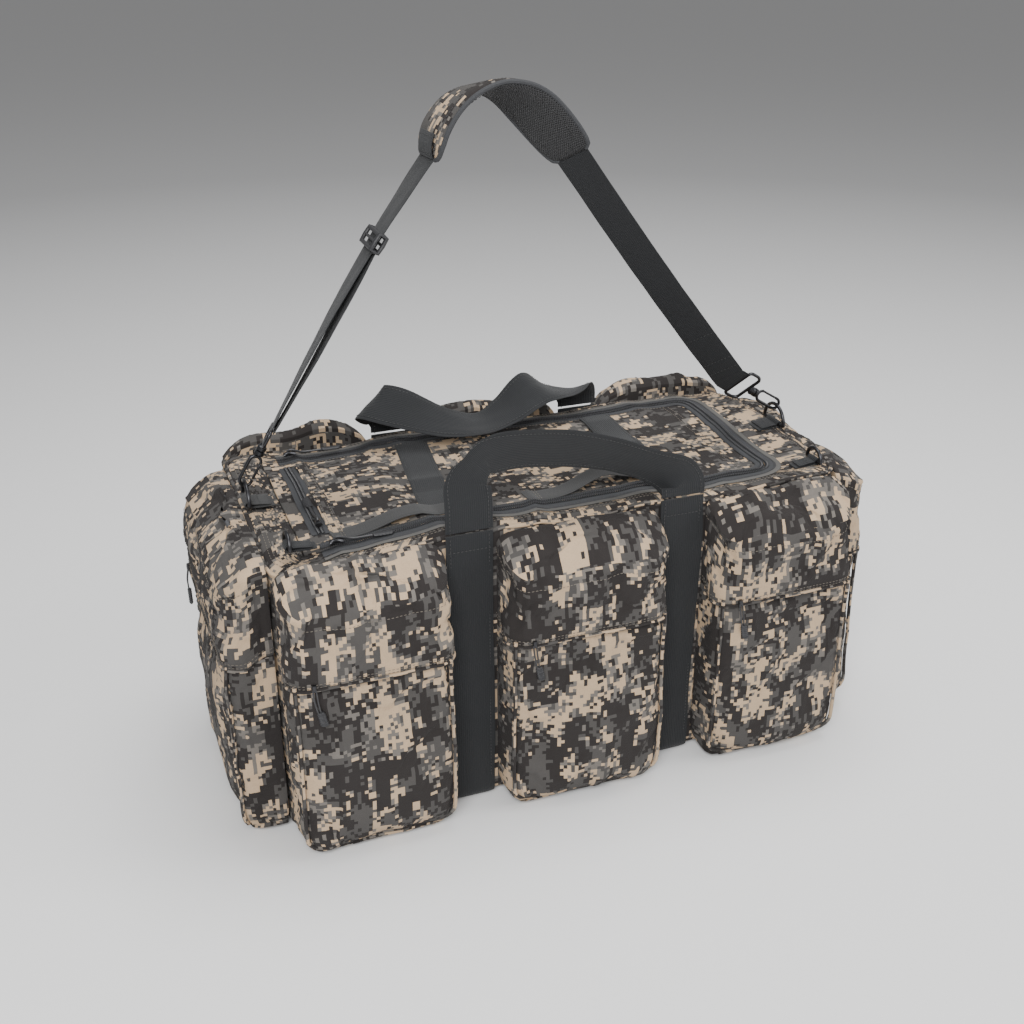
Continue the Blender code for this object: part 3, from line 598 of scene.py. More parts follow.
def tube(path, radius, closed=False, sides=12):
    """Round wire or cord along a path."""
    rows = []
    count = len(path)
    reference = Vector((0.13, 1.0, 0.21)).normalized()
    for i, point in enumerate(path):
        ahead = path[(i + 1) % count] if closed or i < count - 1 else point
        behind = path[i - 1] if closed or i > 0 else point
        tangent = (ahead - behind).normalized()
        first = (reference - reference.dot(tangent) * tangent).normalized()
        reference = first
        second = tangent.cross(first)
        size = radius[i] if isinstance(radius, list) else radius
        rows.append([
            point + first * math.cos(2 * math.pi * k / sides) * size
            + second * math.sin(2 * math.pi * k / sides) * size
            for k in range(sides)
        ])
    if closed:
        rows.append(rows[0])
    mesh_data = skin(rows, True, not closed, not closed)
    if closed:
        bmesh.ops.remove_doubles(mesh_data, verts=mesh_data.verts, dist=1e-6)
        bmesh.ops.recalc_face_normals(mesh_data, faces=mesh_data.faces)
    return mesh_data


def merge(parts):
    """One bmesh out of several."""
    whole = bmesh.new()
    whole.loops.layers.uv.new("Print")
    for part in parts:
        mesh = bpy.data.meshes.new("part")
        part.to_mesh(mesh)
        part.free()
        whole.from_mesh(mesh)
        bpy.data.meshes.remove(mesh)
    return whole


# ---------------------------------------------------------------- repeats along a line
def repeat_tree():
    """Geometry nodes that put a small bead at every step along the curves they are given."""
    tree = bpy.data.node_groups.new("beads_along_lines", "GeometryNodeTree")
    sockets = tree.interface
    sockets.new_socket("Lines", in_out="INPUT", socket_type="NodeSocketGeometry")
    sockets.new_socket("Pitch", in_out="INPUT", socket_type="NodeSocketFloat")
    sockets.new_socket("Bead", in_out="INPUT", socket_type="NodeSocketVector")
    sockets.new_socket("Across", in_out="INPUT", socket_type="NodeSocketFloat")
    sockets.new_socket("Finish", in_out="INPUT", socket_type="NodeSocketMaterial")
    sockets.new_socket("Beads", in_out="OUTPUT", socket_type="NodeSocketGeometry")
    nodes = tree.nodes
    link = tree.links.new
    given = nodes.new("NodeGroupInput")
    result = nodes.new("NodeGroupOutput")
    steps = nodes.new("GeometryNodeResampleCurve")
    steps.mode = "LENGTH"
    link(given.outputs["Lines"], steps.inputs["Curve"])
    link(given.outputs["Pitch"], steps.inputs["Length"])
    bead = nodes.new("GeometryNodeMeshUVSphere")
    bead.inputs["Segments"].default_value = 6
    bead.inputs["Rings"].default_value = 4
    bead.inputs["Radius"].default_value = 0.5
    tangent = nodes.new("GeometryNodeInputTangent")
    sideways = nodes.new("ShaderNodeVectorMath")
    sideways.operation = "CROSS_PRODUCT"
    sideways.inputs[1].default_value = (0, 0, 1)
    link(tangent.outputs[0], sideways.inputs[0])
    choice = nodes.new("ShaderNodeMix")
    choice.data_type = "VECTOR"
    link(given.outputs["Across"], choice.inputs[0])
    link(tangent.outputs[0], choice.inputs[4])
    link(sideways.outputs[0], choice.inputs[5])
    turn = nodes.new("FunctionNodeAlignRotationToVector")
    turn.axis = "X"
    link(choice.outputs[1], turn.inputs["Vector"])
    place = nodes.new("GeometryNodeInstanceOnPoints")
    link(steps.outputs["Curve"], place.inputs["Points"])
    link(bead.outputs["Mesh"], place.inputs["Instance"])
    link(turn.outputs[0], place.inputs["Rotation"])
    link(given.outputs["Bead"], place.inputs["Scale"])
    real = nodes.new("GeometryNodeRealizeInstances")
    link(place.outputs[0], real.inputs[0])
    paint = nodes.new("GeometryNodeSetMaterial")
    link(real.outputs[0], paint.inputs["Geometry"])
    link(given.outputs["Finish"], paint.inputs["Material"])
    link(paint.outputs[0], result.inputs[0])
    return tree


def beads(name, lines, pitch, bead, across, finish, body):
    """Bakes beads along lines of points into one plain mesh on a body."""
    if "beads_along_lines" not in bpy.data.node_groups:
        repeat_tree()
    tree = bpy.data.node_groups["beads_along_lines"]
    curve = bpy.data.curves.new(name + "_lines", "CURVE")
    curve.dimensions = "3D"
    for line in lines:
        spline = curve.splines.new("POLY")
        spline.points.add(len(line) - 1)
        for target, point in zip(spline.points, line):
            target.co = (*point, 1.0)
    guide = bpy.data.objects.new(name + "_lines", curve)
    bpy.context.scene.collection.objects.link(guide)
    modifier = guide.modifiers.new("beads", "NODES")
    modifier.node_group = tree
    values = {"Pitch": pitch, "Bead": bead, "Across": across, "Finish": material(finish)}
    for item in tree.interface.items_tree:
        if item.in_out == "INPUT" and item.name in values:
            modifier[item.identifier] = values[item.name]
    depsgraph = bpy.context.evaluated_depsgraph_get()
    mesh = bpy.data.meshes.new_from_object(guide.evaluated_get(depsgraph), depsgraph=depsgraph)
    mesh.name = name
    bpy.data.objects.remove(guide, do_unlink=True)
    if not mesh.polygons:
        raise RuntimeError(f"{name}: no beads were made")
    mesh.shade_smooth()
    obj = bpy.data.objects.new(name, mesh)
    bpy.context.scene.collection.objects.link(obj)
    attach(obj, body)
    return obj


STITCHES = {}


def stitch(line, body, finish="thread"):
    """Keeps a seam line for the stitching operator."""
    STITCHES.setdefault((body, finish), []).append([Vector(p) for p in line])


# ---------------------------------------------------------------- bag body
def rounded(half_x, half_y, radius, count):
    """A closed outline that starts in the middle of the left end and runs round the front."""
    points = [(-half_x, 0)]
    points += arc(-half_x + radius, -half_y + radius, radius, 180, 270)
    points += arc(half_x - radius, -half_y + radius, radius, 270, 360)
    points += arc(half_x - radius, half_y - radius, radius, 0, 90)
    points += arc(-half_x + radius, half_y - radius, radius, 90, 180)
    return resample([(x, y, 0) for x, y in points], count)


def lid_outline(grow, left, count, closed=True):
    """The lid's outline, started in the middle of its hinge edge and run round the front."""
    right = LID_HIGH[0] + grow
    half = LID_HALF + grow
    radius = LID_CORNER + grow
    points = [(left, 0), (left, -half)] if closed else [(left, -half)]
    points += arc(right - radius, -half + radius, radius, -90, 0)
    points += arc(right - radius, half - radius, radius, 0, 90)
    points.append((left, half))
    return resample([(x, y, 0) for x, y in points], count, closed)


def build_body():
    count = 420
    low = SHELL_LOW[2]
    rows = []
    for inset, height in ((0.10, 0.001), (0.05, 0.0005), (0.02, 0.0), (0.008, 0.0005), (0.003, 0.003)):
        ring = rounded(HALF_LENGTH - inset, HALF_WIDTH - inset, CORNER, count)
        rows.append([Vector((p.x, p.y, low + height)) for p in ring])
    steps = 46
    for k in range(steps + 1):
        z = low + 0.010 + (DECK - 0.012 - low - 0.010) * k / steps
        outline = rounded(HALF_LENGTH, HALF_WIDTH, CORNER, count)
        row = []
        for p in outline:
            outward = Vector((p.x / HALF_LENGTH, p.y / HALF_WIDTH, 0)).normalized()
            free = ease(z, low, low + 0.05) * (1 - ease(z, DECK - 0.03, DECK))
            push = fold(p.x, p.y, z, 9, 2.0) * sizes().fold_depth * free
            row.append(Vector((p.x, p.y, z)) + outward * (push - 0.001))
        rows.append(row)
    rows += [
        [Vector((p.x, p.y, DECK - drop)) for p in
         rounded(HALF_LENGTH - inset, HALF_WIDTH - inset, CORNER, count)]
        for inset, drop in ((0.0015, 0.0070), (0.0045, 0.0030), (0.0090, 0.0008))
    ]
    outer = rounded(HALF_LENGTH - 0.013, HALF_WIDTH - 0.013, CORNER, count)
    opening = lid_outline(0.0012, LID_LOW[0] - 0.001, count)
    for k in range(9):
        share = k / 8
        row = []
        for a, b in zip(outer, opening):
            p = a.lerp(b, share)
            row.append(Vector((p.x, p.y, DECK - 0.0004)))
        rows.append(row)
    rows = [[settle(p) for p in row] for row in rows]
    mesh_data = skin(rows, True, True, False, 0.7)
    orient(mesh_data, Vector((0, 0, DECK / 2)))
    body = piece("bag_body", mesh_data, ["camouflage_cloth", "lining"], "bag", ["main_shell"])
    thicken(body, 0.0022, inner=1)
    edge = rounded(HALF_LENGTH - 0.0015, HALF_WIDTH - 0.0015, CORNER, 300)
    piping = [settle(Vector((p.x, p.y, DECK - 0.0045))) for p in edge]
    piece("top_edge_piping", tube(piping, 0.0024, True, 8), ["camouflage_cloth"], "bag")
    for inset in (0.0085, 0.0125):
        line = rounded(HALF_LENGTH - inset, HALF_WIDTH - inset, CORNER, 300)
        stitch([settle(Vector((p.x, p.y, DECK + 0.0004))) for p in line], "bag", "pale_thread")
    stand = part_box("base_board")
    if stand[0][2] > SHELL_HIGH[2]:
        raise RuntimeError("the base board is outside the bag")
    paint_node("base_board", "board")


def paint_node(node, finish):
    """Gives a CAD node that stays its finish."""
    obj = frame["nodes"][node]
    for slot in obj.material_slots:
        slot.material = material(finish)


# ---------------------------------------------------------------- pockets
def pocket_frame(name):
    """Where a pocket stands: its turn, its centre on the body's face, half width and depth."""
    low, high = (Vector(corner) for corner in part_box(name + "_pocket"))
    turn = Matrix.Rotation(POCKETS[name], 4, "Z")
    outward = turn @ Vector((0, -1, 0))
    middle = (low + high) / 2
    if abs(outward.y) > 0.5:
        half, depth = (high.x - low.x) / 2, high.y - low.y
    else:
        half, depth = (high.y - low.y) / 2, high.x - low.x
    back = middle - outward * depth / 2
    back.z = 0.0
    place = Matrix.Translation(back) @ turn
    return place, half, depth, low.z


def pocket_outline(half, depth, inset, radius, count):
    """A closed outline from the back's middle round the left side, the front and the right."""
    left, right, front = -half + inset, half - inset, -depth + inset
    radius = max(radius - inset * 0.5, 0.003)
    points = [(0, 0), (left, 0)]
    points += arc(left + radius, front + radius, radius, 180, 270)
    points += arc(right - radius, front + radius, radius, 270, 360)
    points.append((right, 0))
    return resample([(x, y, 0) for x, y in points], count)


def pocket_push(p, half, depth, z, seed, share):
    """How far the slack cloth of a pocket stands out at a point, and where it may."""
    free = ease(-p.y, depth * 0.1, depth * 0.7)
    world = Vector((p.x + seed, p.y, z))
    broad = fold(world.x, world.y, world.z * 0.7, 11, seed) * sizes().fold_depth * 1.25
    fine = (crease(world.x * 1.3, world.y, world.z * 0.55, 17, seed) - 0.45) * sizes().crease_depth * 1.5
    full = math.sin(math.pi * min(1, max(0, share))) * 0.0030 * (1 - (p.x / half) ** 4) - 0.0020
    return (broad + fine + full) * free


def tuck_under(height):
    """How far a pocket's sides have drawn in at a height over its foot, which is round."""
    share = 1 - min(1.0, height / 0.038)
    return 0.018 * (1 - math.sqrt(1 - share * share))


def build_pocket_tray(name, seed):
    place, half, depth, low = pocket_frame(name)
    count = 200
    rows = []
    for inset, height in ((0.026, 0.0006), (0.020, 0.0), (0.014, 0.0010), (0.0105, 0.003)):
        ring = pocket_outline(half, depth, inset, 0.022, count)
        rows.append([Vector((p.x, p.y, low + height)) for p in ring])
    steps = 44
    top = SEAM + 0.0005
    for k in range(steps + 1):
        share = k / steps
        z = low + 0.005 + (top - low - 0.005) * share
        outline = pocket_outline(half, depth, tuck_under(z - low), 0.020, count)
        row = []
        for p in outline:
            side = Vector((p.x / half * ease(abs(p.x), half * 0.85, half), p.y / depth, 0))
            side = side.normalized() if side.length > 0.2 else Vector((0, -1, 0))
            push = pocket_push(p, half, depth, z, seed, share)
            gather = math.sin(p.x * 150 + 5 * fold(p.x, 0, 0, 20, seed)) * 0.0011
            push += gather * ease(z, top - 0.05, top) * ease(-p.y, depth * 0.4, depth)
            push -= 0.0022 * ease(z, top - 0.028, top) * ease(-p.y, depth * 0.3, depth)
            droop = 0.0025 * math.sin(p.x * 38 + seed) * (1 - ease(z, low, low + 0.05))
            row.append(Vector((p.x, p.y, z + min(droop, 0.002))) + side * push)
        rows.append(row)
    rows = [[place @ p for p in row] for row in rows]
    mesh_data = skin(rows, True, True, False, seed * 1.7)
    orient(mesh_data, place @ Vector((0, -depth / 2, (low + SEAM) / 2)))
    tray = piece(name + "_tray", mesh_data, ["camouflage_cloth", "lining"], "bag", [name + "_pocket"])
    held = held_rows(count, len(rows) - 1, place, half, depth)
    swell(tray, held, 0.035, 1.5, 0.006)
    thicken(tray, 0.0016, inner=1)
    build_pocket_piping(name, place, half, depth, low, seed)


def held_rows(count, last, place, half, depth):
    """Holds a tray at its foot, its top hem, its front corner seams and where it is sewn on."""
    away = place.inverted()

    def held(index, co):
        row = min(index // count, last)
        local = away @ co
        sewn = 1 - ease(-local.y, 0.0, depth * 0.45)
        seam = 0.85 * math.exp(-((abs(local.x) - half + 0.0055) / 0.0045) ** 2)
        return max(sewn, seam, 1 - ease(row, 0, 5), 1 - ease(last - row, 0, 3))

    return held


def build_pocket_piping(name, place, half, depth, low, seed):
    """The self-cloth piping down both front corners and round the bottom of the front panel."""
    inset = 0.0055
    path = [(-half + inset, SEAM - 0.004), (-half + inset, low + 0.030)]
    path += arc(-half + inset + 0.018, low + 0.026, 0.018, 180, 270, 6)[1:]
    path += arc(half - inset - 0.018, low + 0.026, 0.018, 270, 360, 6)
    path.append((half - inset, SEAM - 0.004))
    line = resample([(x, -depth + 0.0030, z) for x, z in path], 90, False)
    world = []
    for p in line:
        push = pocket_push(p, half, depth, p.z, seed, (p.z - low) / (SEAM - low))
        push -= tuck_under(p.z - low) - 0.0012
        world.append(place @ Vector((p.x, p.y - push, p.z)))
    piece(name + "_piping", tube(world, 0.0022, False, 8), ["camouflage_cloth"], "bag")


HOOD_LIP = 0.009
HOOD_PROUD = 0.0028


def build_pocket_hood(name, seed):
    place, half, depth, _ = pocket_frame(name)
    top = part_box(name + "_hood")[1][2]
    count = 200
    kind = hood_kind(name)
    bottom = SEAM - HOOD_LIP
    rows = []
    outline = pocket_outline(half, depth, 0.0, 0.020, count)
    steps = 22
    for k in range(steps + 1):
        share = k / steps
        row = []
        for p in outline:
            front = ease(-p.y, depth * 0.15, depth * 0.6)
            foot = bottom if front > 0.02 else SEAM + 0.002
            foot = foot * front + (SEAM + 0.002) * (1 - front)
            head = top - 0.009 + hood_level(p, half, depth, kind, seed)
            z = foot + (head - foot) * share
            side = Vector((p.x / half * ease(abs(p.x), half * 0.85, half), p.y / depth, 0))
            side = side.normalized() if side.length > 0.2 else Vector((0, -1, 0))
            push = pocket_push(p, half, depth, z, seed + 5, share) * (0.35 + 0.65 * share)
            push += HOOD_PROUD * front * (1 - 0.55 * ease(share, 0.15, 0.9))
            tuck = math.sin(p.x * 120 + 4 * fold(p.x, 0, z, 14, seed)) * 0.0015
            push += tuck * ease(share, 0.45, 1.0) * front
            row.append(Vector((p.x, p.y, z)) + side * push)
        rows.append(row)
    rows += hood_top_rows(half, depth, top, kind, count, seed)
    rows = [[place @ p for p in row] for row in rows]
    body = name + "_hood"
    mesh_data = skin(rows, True, False, True, seed * 2.3)
    lay_print_flat(mesh_data, place, steps + 1, count, seed)
    orient(mesh_data, place @ Vector((0, -depth / 2, (SEAM + top) / 2)))
    hood = piece(name + "_hood_cloth", mesh_data, ["camouflage_cloth", "lining"], body, [body])
    swell(hood, held_hood(count, place, depth), 0.035, 1.5, 0.006)
    thicken(hood, 0.0016, inner=1)
    for line in hood_seams(hood, count):
        stitch(line, body, "pale_thread")
    hem = [place @ (p + Vector((0, -0.0004, 0))) for p in hem_line(outline, half, depth, bottom, seed)]
    piece(name + "_hood_hem", tube(hem, 0.0017, False, 8), ["camouflage_cloth"], body)


HOOD_FALLS = {"front": 0.030, "rear": 0.008, "end": 0.015}
HOOD_RISES = {"front": 0.010, "rear": 0.034, "end": 0.013}


def hood_kind(name):
    """Front, rear or end."""
    return "end" if name.endswith("end") else name.split("_")[0]


def hood_level(p, half, depth, kind, seed):
    """Height of a hood's top over its CAD top: it falls to the front and humps behind."""
    out = min(1.0, max(0.0, -p.y / depth))
    middle = 1 - min(1.0, abs(p.x) / half) ** 4
    hump = HOOD_RISES[kind] * math.sin(math.pi * (0.30 + 0.70 * out)) ** 2 * middle
    ruck = fold(p.x, p.y * 1.6, 0, 21, seed) * 0.0045 * (0.4 + 0.6 * middle)
    pinch = (crease(p.x, p.y * 0.7, 0, 19, seed + 3) - 0.4) * 0.0024
    return HOOD_RISES[kind] * 0.35 - HOOD_FALLS[kind] * out ** 1.4 + hump * 0.65 + ruck + pinch


def hood_top_rows(half, depth, top, kind, count, seed):
    """The sloping, puffed top of a hood, closed towards its middle."""
    rows = []
    for inset, drop in ((0.0025, 0.0050), (0.006, 0.0022), (0.011, 0.0006)):
        row = []
        for p in pocket_outline(half, depth, inset, 0.020, count):
            out = min(1.0, -p.y / depth)
            tuck = math.sin(p.x * 120 + 4 * fold(p.x, 0, 0.3, 14, seed)) * 0.0016
            z = top - drop + hood_level(p, half, depth, kind, seed) + tuck * ease(out, 0.3, 0.9)
            row.append(Vector((p.x, p.y, z)))
        rows.append(row)
    last = rows[-1]
    for k in range(1, 11):
        share = k / 11
        row = []
        for p in last:
            q = Vector((p.x * (1 - share * 0.85), p.y + (-depth * 0.5 - p.y) * share, 0))
            q.z = top + hood_level(q, half, depth, kind, seed)
            row.append(q)
        rows.append(row)
    return rows


def lay_print_flat(mesh_data, place, first, count, seed):
    """Lays the print from straight above on every row of faces from the first one given."""
    layer = mesh_data.loops.layers.uv["Print"]
    away = place.inverted()
    mesh_data.faces.ensure_lookup_table()
    for face in list(mesh_data.faces)[first * count:]:
        for loop in face.loops:
            p = away @ loop.vert.co
            loop[layer].uv = (p.x + seed, p.y + seed * 2)


def held_hood(count, place, depth):
    """Holds a hood along its hem and where it is sewn to the deck."""
    away = place.inverted()

    def held(index, co):
        sewn = 1 - ease(-(away @ co).y, 0.0, depth * 0.35)
        return max(sewn, 1 - ease(index // count, 2, 7))

    return held


def hood_seams(hood, count):
    """Two lines of stitches along the hood's hem and one under its top edge."""
    first, last = int(count * 0.13), int(count * 0.87)
    vertices = hood.data.vertices
    lines = []
    for row, lift in ((1, 0.0006), (2, 0.0006), (20, 0.0008)):
        line = [vertices[row * count + i] for i in range(first, last)]
        lines.append([vertex.co + vertex.normal * lift for vertex in line])
    return lines


def flatten_hood(name):
    """Gives each part of a hood its own copy of its mesh."""
    for part in ("cloth", "hem", "pale_thread_stitches"):
        obj = bpy.data.objects[f"{name}_hood_{part}"]
        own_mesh(obj)


def hem_line(outline, half, depth, bottom, seed):
    """The rolled lower edge of a hood, over its front and both sides."""
    line = []
    for p in outline:
        front = ease(-p.y, depth * 0.15, depth * 0.6)
        if front < 0.9:
            continue
        side = Vector((p.x / half * ease(abs(p.x), half * 0.85, half), p.y / depth, 0)).normalized()
        push = pocket_push(p, half, depth, bottom, seed + 5, 0.0) * 0.35 + HOOD_PROUD * front
        line.append(Vector((p.x, p.y, bottom)) + side * push)
    return line


def cloth_under(name, place, length):
    """How far the tray's cloth stands out behind a hanging pull."""
    away = place.inverted()
    out = 0.0
    for vertex in bpy.data.objects[name + "_tray"].data.vertices:
        local = away @ vertex.co
        if abs(local.x - 0.003) < 0.010 and -length < local.z < -0.012:
            out = max(out, -local.y)
    return out


def build_pull(name):
    """Two thin cords from the slider down to a moulded, ridged grip."""
    low, high = (Vector(corner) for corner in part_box(name + "_zip_pull"))
    turn = Matrix.Rotation(POCKETS[name], 4, "Z")
    middle = (low + high) / 2
    place = Matrix.Translation((middle.x, middle.y, high.z)) @ turn
    length = high.z - low.z
    out = cloth_under(name, place, length) + 0.0024
    place = place @ Matrix.Translation((0, -out, 0))
    parts = []
    for side in (-1, 1):
        path = [
            (side * 0.0010, out * 0.8, -0.003), (side * 0.0016, out * 0.3, -0.009),
            (side * 0.0015 + 0.0008, -0.0012, -0.020), (side * 0.0013 + 0.0026, -0.0010, -0.030),
            (side * 0.0012 + 0.0040, -0.0006, -0.034),
        ]
        line = [place @ Vector(p) for p in smooth_path(path, 5)]
        parts.append(tube(line, 0.00085, False, 7))
    cords = merge(parts)
    body = name + "_zip_pull"
    piece(name + "_pull_cords", cords, ["zip_coil"], body, [body])
    grip_rows = []
    for k in range(33):
        share = k / 32
        z = -0.031 - (length - 0.031) * share
        ridge = 0.00045 * math.sin(share * 2 * math.pi * 7)
        wide = 0.0040 + ridge - 0.0014 * (1 - ease(share, 0, 0.12)) - 0.0012 * ease(share, 0.93, 1)
        thick = 0.0021 + ridge * 0.6 - 0.0006 * ease(share, 0.93, 1)
        centre = Vector((0.0038 + 0.0035 * share, -0.0005, z))
        grip_rows.append([
            place @ (centre + Vector((wide * math.cos(a), thick * math.sin(a), 0)))
            for a in (2 * math.pi * i / 20 for i in range(20))
        ])
    grip = skin(grip_rows, True, True, True)
    piece(name + "_pull_grip", grip, ["moulded"], body)
    block = tube([place @ Vector((0, out * 0.8, z)) for z in (-0.001, -0.0035, -0.0075, -0.009)],
                 [0.0022, 0.0026, 0.0024, 0.0014], False, 10)
    piece(name + "_slider", block, ["coated_metal"], body)


# ---------------------------------------------------------------- lid
def lid_point(x, across, lift=0.0):
    """A point on the lid: across runs from -1 at its front edge to 1 at its rear edge."""
    right = LID_HIGH[0]
    half = LID_HALF
    over = x - (right - LID_CORNER)
    if over > 0:
        half -= LID_CORNER - math.sqrt(max(0.0, LID_CORNER ** 2 - over ** 2))
    y = across * half
    return Vector((x, y, DECK + lift + relief(x, y)))


def build_lid():
    columns, rows_count = 190, 80
    rows = []
    for k in range(columns + 1):
        x = LID_LOW[0] + (LID_HIGH[0] - LID_LOW[0]) * k / columns
        x = min(x, LID_HIGH[0] - 0.0004)
        rows.append([lid_point(x, -1 + 2 * i / rows_count) for i in range(rows_count + 1)])
    mesh_data = skin(rows, False, seed=3.1)
    orient(mesh_data, Vector((0, 0, 0)))
    lid = piece("lid_cloth", mesh_data, ["camouflage_cloth", "lining"], "lid", ["lid_panel"])
    thicken(lid, 0.0030, inner=1)
    fold_x = LID_HIGH[0] - 0.034
    for x in (fold_x, fold_x + 0.006):
        line = [lid_point(x, -0.86 + 1.72 * i / 60, 0.0008) for i in range(61)]
        stitch(line, "lid", "pale_thread")
    for row in (-0.895, 0.895):
        line = []
        for i in range(120):
            x = LID_LOW[0] + 0.012 + (LID_HIGH[0] - LID_LOW[0] - 0.045) * i / 119
            line.append(lid_point(x, row, 0.0008))
        stitch(line, "lid", "pale_thread")
    welt = [lid_point(LID_LOW[0] + 0.0395, -0.80 + 1.60 * i / 50, 0.0016) for i in range(51)]
    side = (1, 0, 0)
    hem = ribbon(welt, side, 0.014, 0.0022, seed=5.0)
    piece("lid_pocket_hem", hem, ["camouflage_cloth"], "lid")
    for offset in (-0.004, 0.004):
        stitch([p + Vector((offset, 0, 0.0014)) for p in welt], "lid", "pale_thread")


def surface_strip(start, end, lift, steps=60):
    """Points from start to end that follow the lid's relief."""
    points = []
    for i in range(steps + 1):
        share = i / steps
        x = start[0] + (end[0] - start[0]) * share
        y = start[1] + (end[1] - start[1]) * share
        points.append(Vector((x, y, DECK + relief(x, y) + lift)))
    return points


def build_lid_webbing():
    for name, node, skew in (
        ("lid_strap_left", "lid_band_left", 0.010),
        ("lid_strap_right", "lid_band_right", 0.004),
    ):
        low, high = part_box(node)
        x = (low[0] + high[0]) / 2
        path = surface_strip((x - skew, low[1]), (x + skew, high[1]), 0.0014)
        web = ribbon(path, (1, 0, 0), high[0] - low[0], 0.0019, seed=x)
        piece(name, web, ["dark_webbing"], "lid", [node])
        for side in (-1, 1):
            edge = side * ((high[0] - low[0]) / 2 - 0.003)
            stitch([p + Vector((edge, 0, 0.0011)) for p in path], "lid")
    for name, fall in (("lash_loop_left", 0.010), ("lash_loop_right", 0.012)):
        low, high = (Vector(c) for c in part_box(name))
        y = (low.y + high.y) / 2
        rise = high.z - low.z - 0.0025
        path = []
        for i in range(61):
            share = i / 60
            x = low.x + (high.x - low.x) * share
            bow = rise * math.sin(math.pi * ease(share, 0.08, 0.92)) ** 2
            path.append(Vector((x, y + fall * (share - 0.5), DECK + relief(x, y) + 0.0016 + bow)))
        web = ribbon(path, (0, 1, 0), high.y - low.y - 0.001, 0.0018, seed=y + rise)
        piece(name + "_webbing", web, ["lash_webbing"], "lid", [name])
        for share in (4, 56):
            bar = [path[share] + Vector((0, -0.010 + 0.020 * i / 8, 0.0014)) for i in range(9)]
            stitch(bar, "lid", "pale_thread")
            bar = [p + Vector((0.003, 0, 0)) for p in bar]
            stitch(bar, "lid", "pale_thread")


# ---------------------------------------------------------------- zips
def zip_line(grow, lift, count=420):
    """A line round the lid's three free sides, at a distance outside its edge."""
    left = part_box("lid_zip_half")[0][0]
    line = lid_outline(grow, left, count, closed=False)
    return [Vector((p.x, p.y, DECK + relief(p.x, p.y) + lift)) for p in line]


def tape(line, width, finish, body, name, nodes=()):
    sides = []
    for i in range(len(line)):
        tangent = line[min(i + 1, len(line) - 1)] - line[max(i - 1, 0)]
        sides.append(tangent.cross(Vector((0, 0, 1))))
    mesh_data = ribbon(line, sides, width, 0.0011, columns=5)
    piece(name, mesh_data, [finish], body, nodes)


def build_zips():
    tooth = (0.0042, 0.0014, 0.0024)
    pitch = sizes().tooth_pitch
    tape(zip_line(0.0068, 0.0006), 0.012, "zip_tape", "bag", "deck_zip_tape", ["deck_zip_half"])
    tape(zip_line(-0.0058, 0.0008), 0.010, "zip_tape", "lid", "lid_zip_tape", ["lid_zip_half"])
    tape(zip_line(0.0152, 0.0007), 0.0055, "grey_tape", "bag", "deck_zip_binding")
    beads("deck_zip_coil", [zip_line(0.0030, 0.0020)], pitch, tooth, 1.0, "zip_coil", "bag")
    beads("lid_zip_coil", [zip_line(-0.0030, 0.0020)], pitch, tooth, 1.0, "zip_coil", "lid")
    stitch(zip_line(0.0105, 0.0014), "bag")
    stitch(zip_line(-0.0090, 0.0016), "lid")
    low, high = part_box("lid_pocket_zip")
    x = (low[0] + high[0]) / 2
    base = surface_strip((x, low[1]), (x, high[1]), 0.0010)
    web = ribbon(base, (1, 0, 0), 0.019, 0.0012, columns=5)
    piece("lid_pocket_tape", web, ["zip_tape"], "lid", ["lid_pocket_zip"])
    lines = [[p + Vector((side * 0.0021, 0, 0.0014)) for p in base] for side in (-1, 1)]
    beads("lid_pocket_coil", lines, pitch, tooth, 1.0, "zip_coil", "lid")
    build_slider("lid_pocket_slider", "lid_pocket_slider", (0, 1, 0))
    build_slider("front_main_slider", "front_main_slider", (1, 0, 0))
    build_slider("rear_main_slider", "rear_main_slider", (1, 0, 0))


def build_slider(node, body, forward):
    """A zip slider: a waisted body with a bridge, a cord and a rounded grip."""
    low, high = (Vector(corner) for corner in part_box(node))
    forward = Vector(forward)
    side = Vector((0, 0, 1)).cross(forward)
    length = abs((high - low).dot(forward))
    width = abs((high - low).dot(side))
    start = (low + high) / 2 - forward * length / 2
    start.z = low.z + relief(start.x, start.y) * 0.7 + 0.0006
    rows = []
    for k in range(15):
        share = k / 14
        spread = 0.5 + 0.14 * math.cos(2 * math.pi * share) - 0.10 * (1 - ease(share, 0, 0.1))
        height = 0.0038 + 0.0012 * math.sin(math.pi * share)
        centre = start + forward * 0.014 * share
        outline = arc(0, 0, 1, 0, 330, 11)
        rows.append([
            centre + side * (px * width * spread) + Vector((0, 0, height / 2 + pz * height / 2))
            for px, pz in outline
        ])
    piece(node + "_body", skin(rows, True, True, True), ["coated_metal"], body, [node])
    path = [
        start + forward * along + Vector((0, 0, lift))
        for along, lift in ((0.004, 0.0050), (0.008, 0.0066), (0.014, 0.0052), (0.024, 0.0022),
                            (length - 0.020, 0.0020))
    ]
    cord = [Vector(p) for p in smooth_path([tuple(p) for p in path], 5)]
    piece(node + "_cord", tube(cord, 0.0013, False, 8), ["zip_coil"], body)
    grip = []
    for k in range(21):
        share = k / 20
        ridge = 0.0004 * math.sin(share * 12 * math.pi)
        wide = (0.0042 + ridge) * math.sqrt(max(0.05, 1 - (2 * share - 1) ** 6))
        thick = 0.0016 + ridge * 0.5
        centre = start + forward * (length - 0.022 + 0.022 * share) + Vector((0, 0, 0.0024))
        grip.append([
            centre + side * (wide * math.cos(a)) + Vector((0, 0, thick * math.sin(a)))
            for a in (2 * math.pi * i / 16 for i in range(16))
        ])
    piece(node + "_grip", skin(grip, True, True, True), ["moulded"], body)


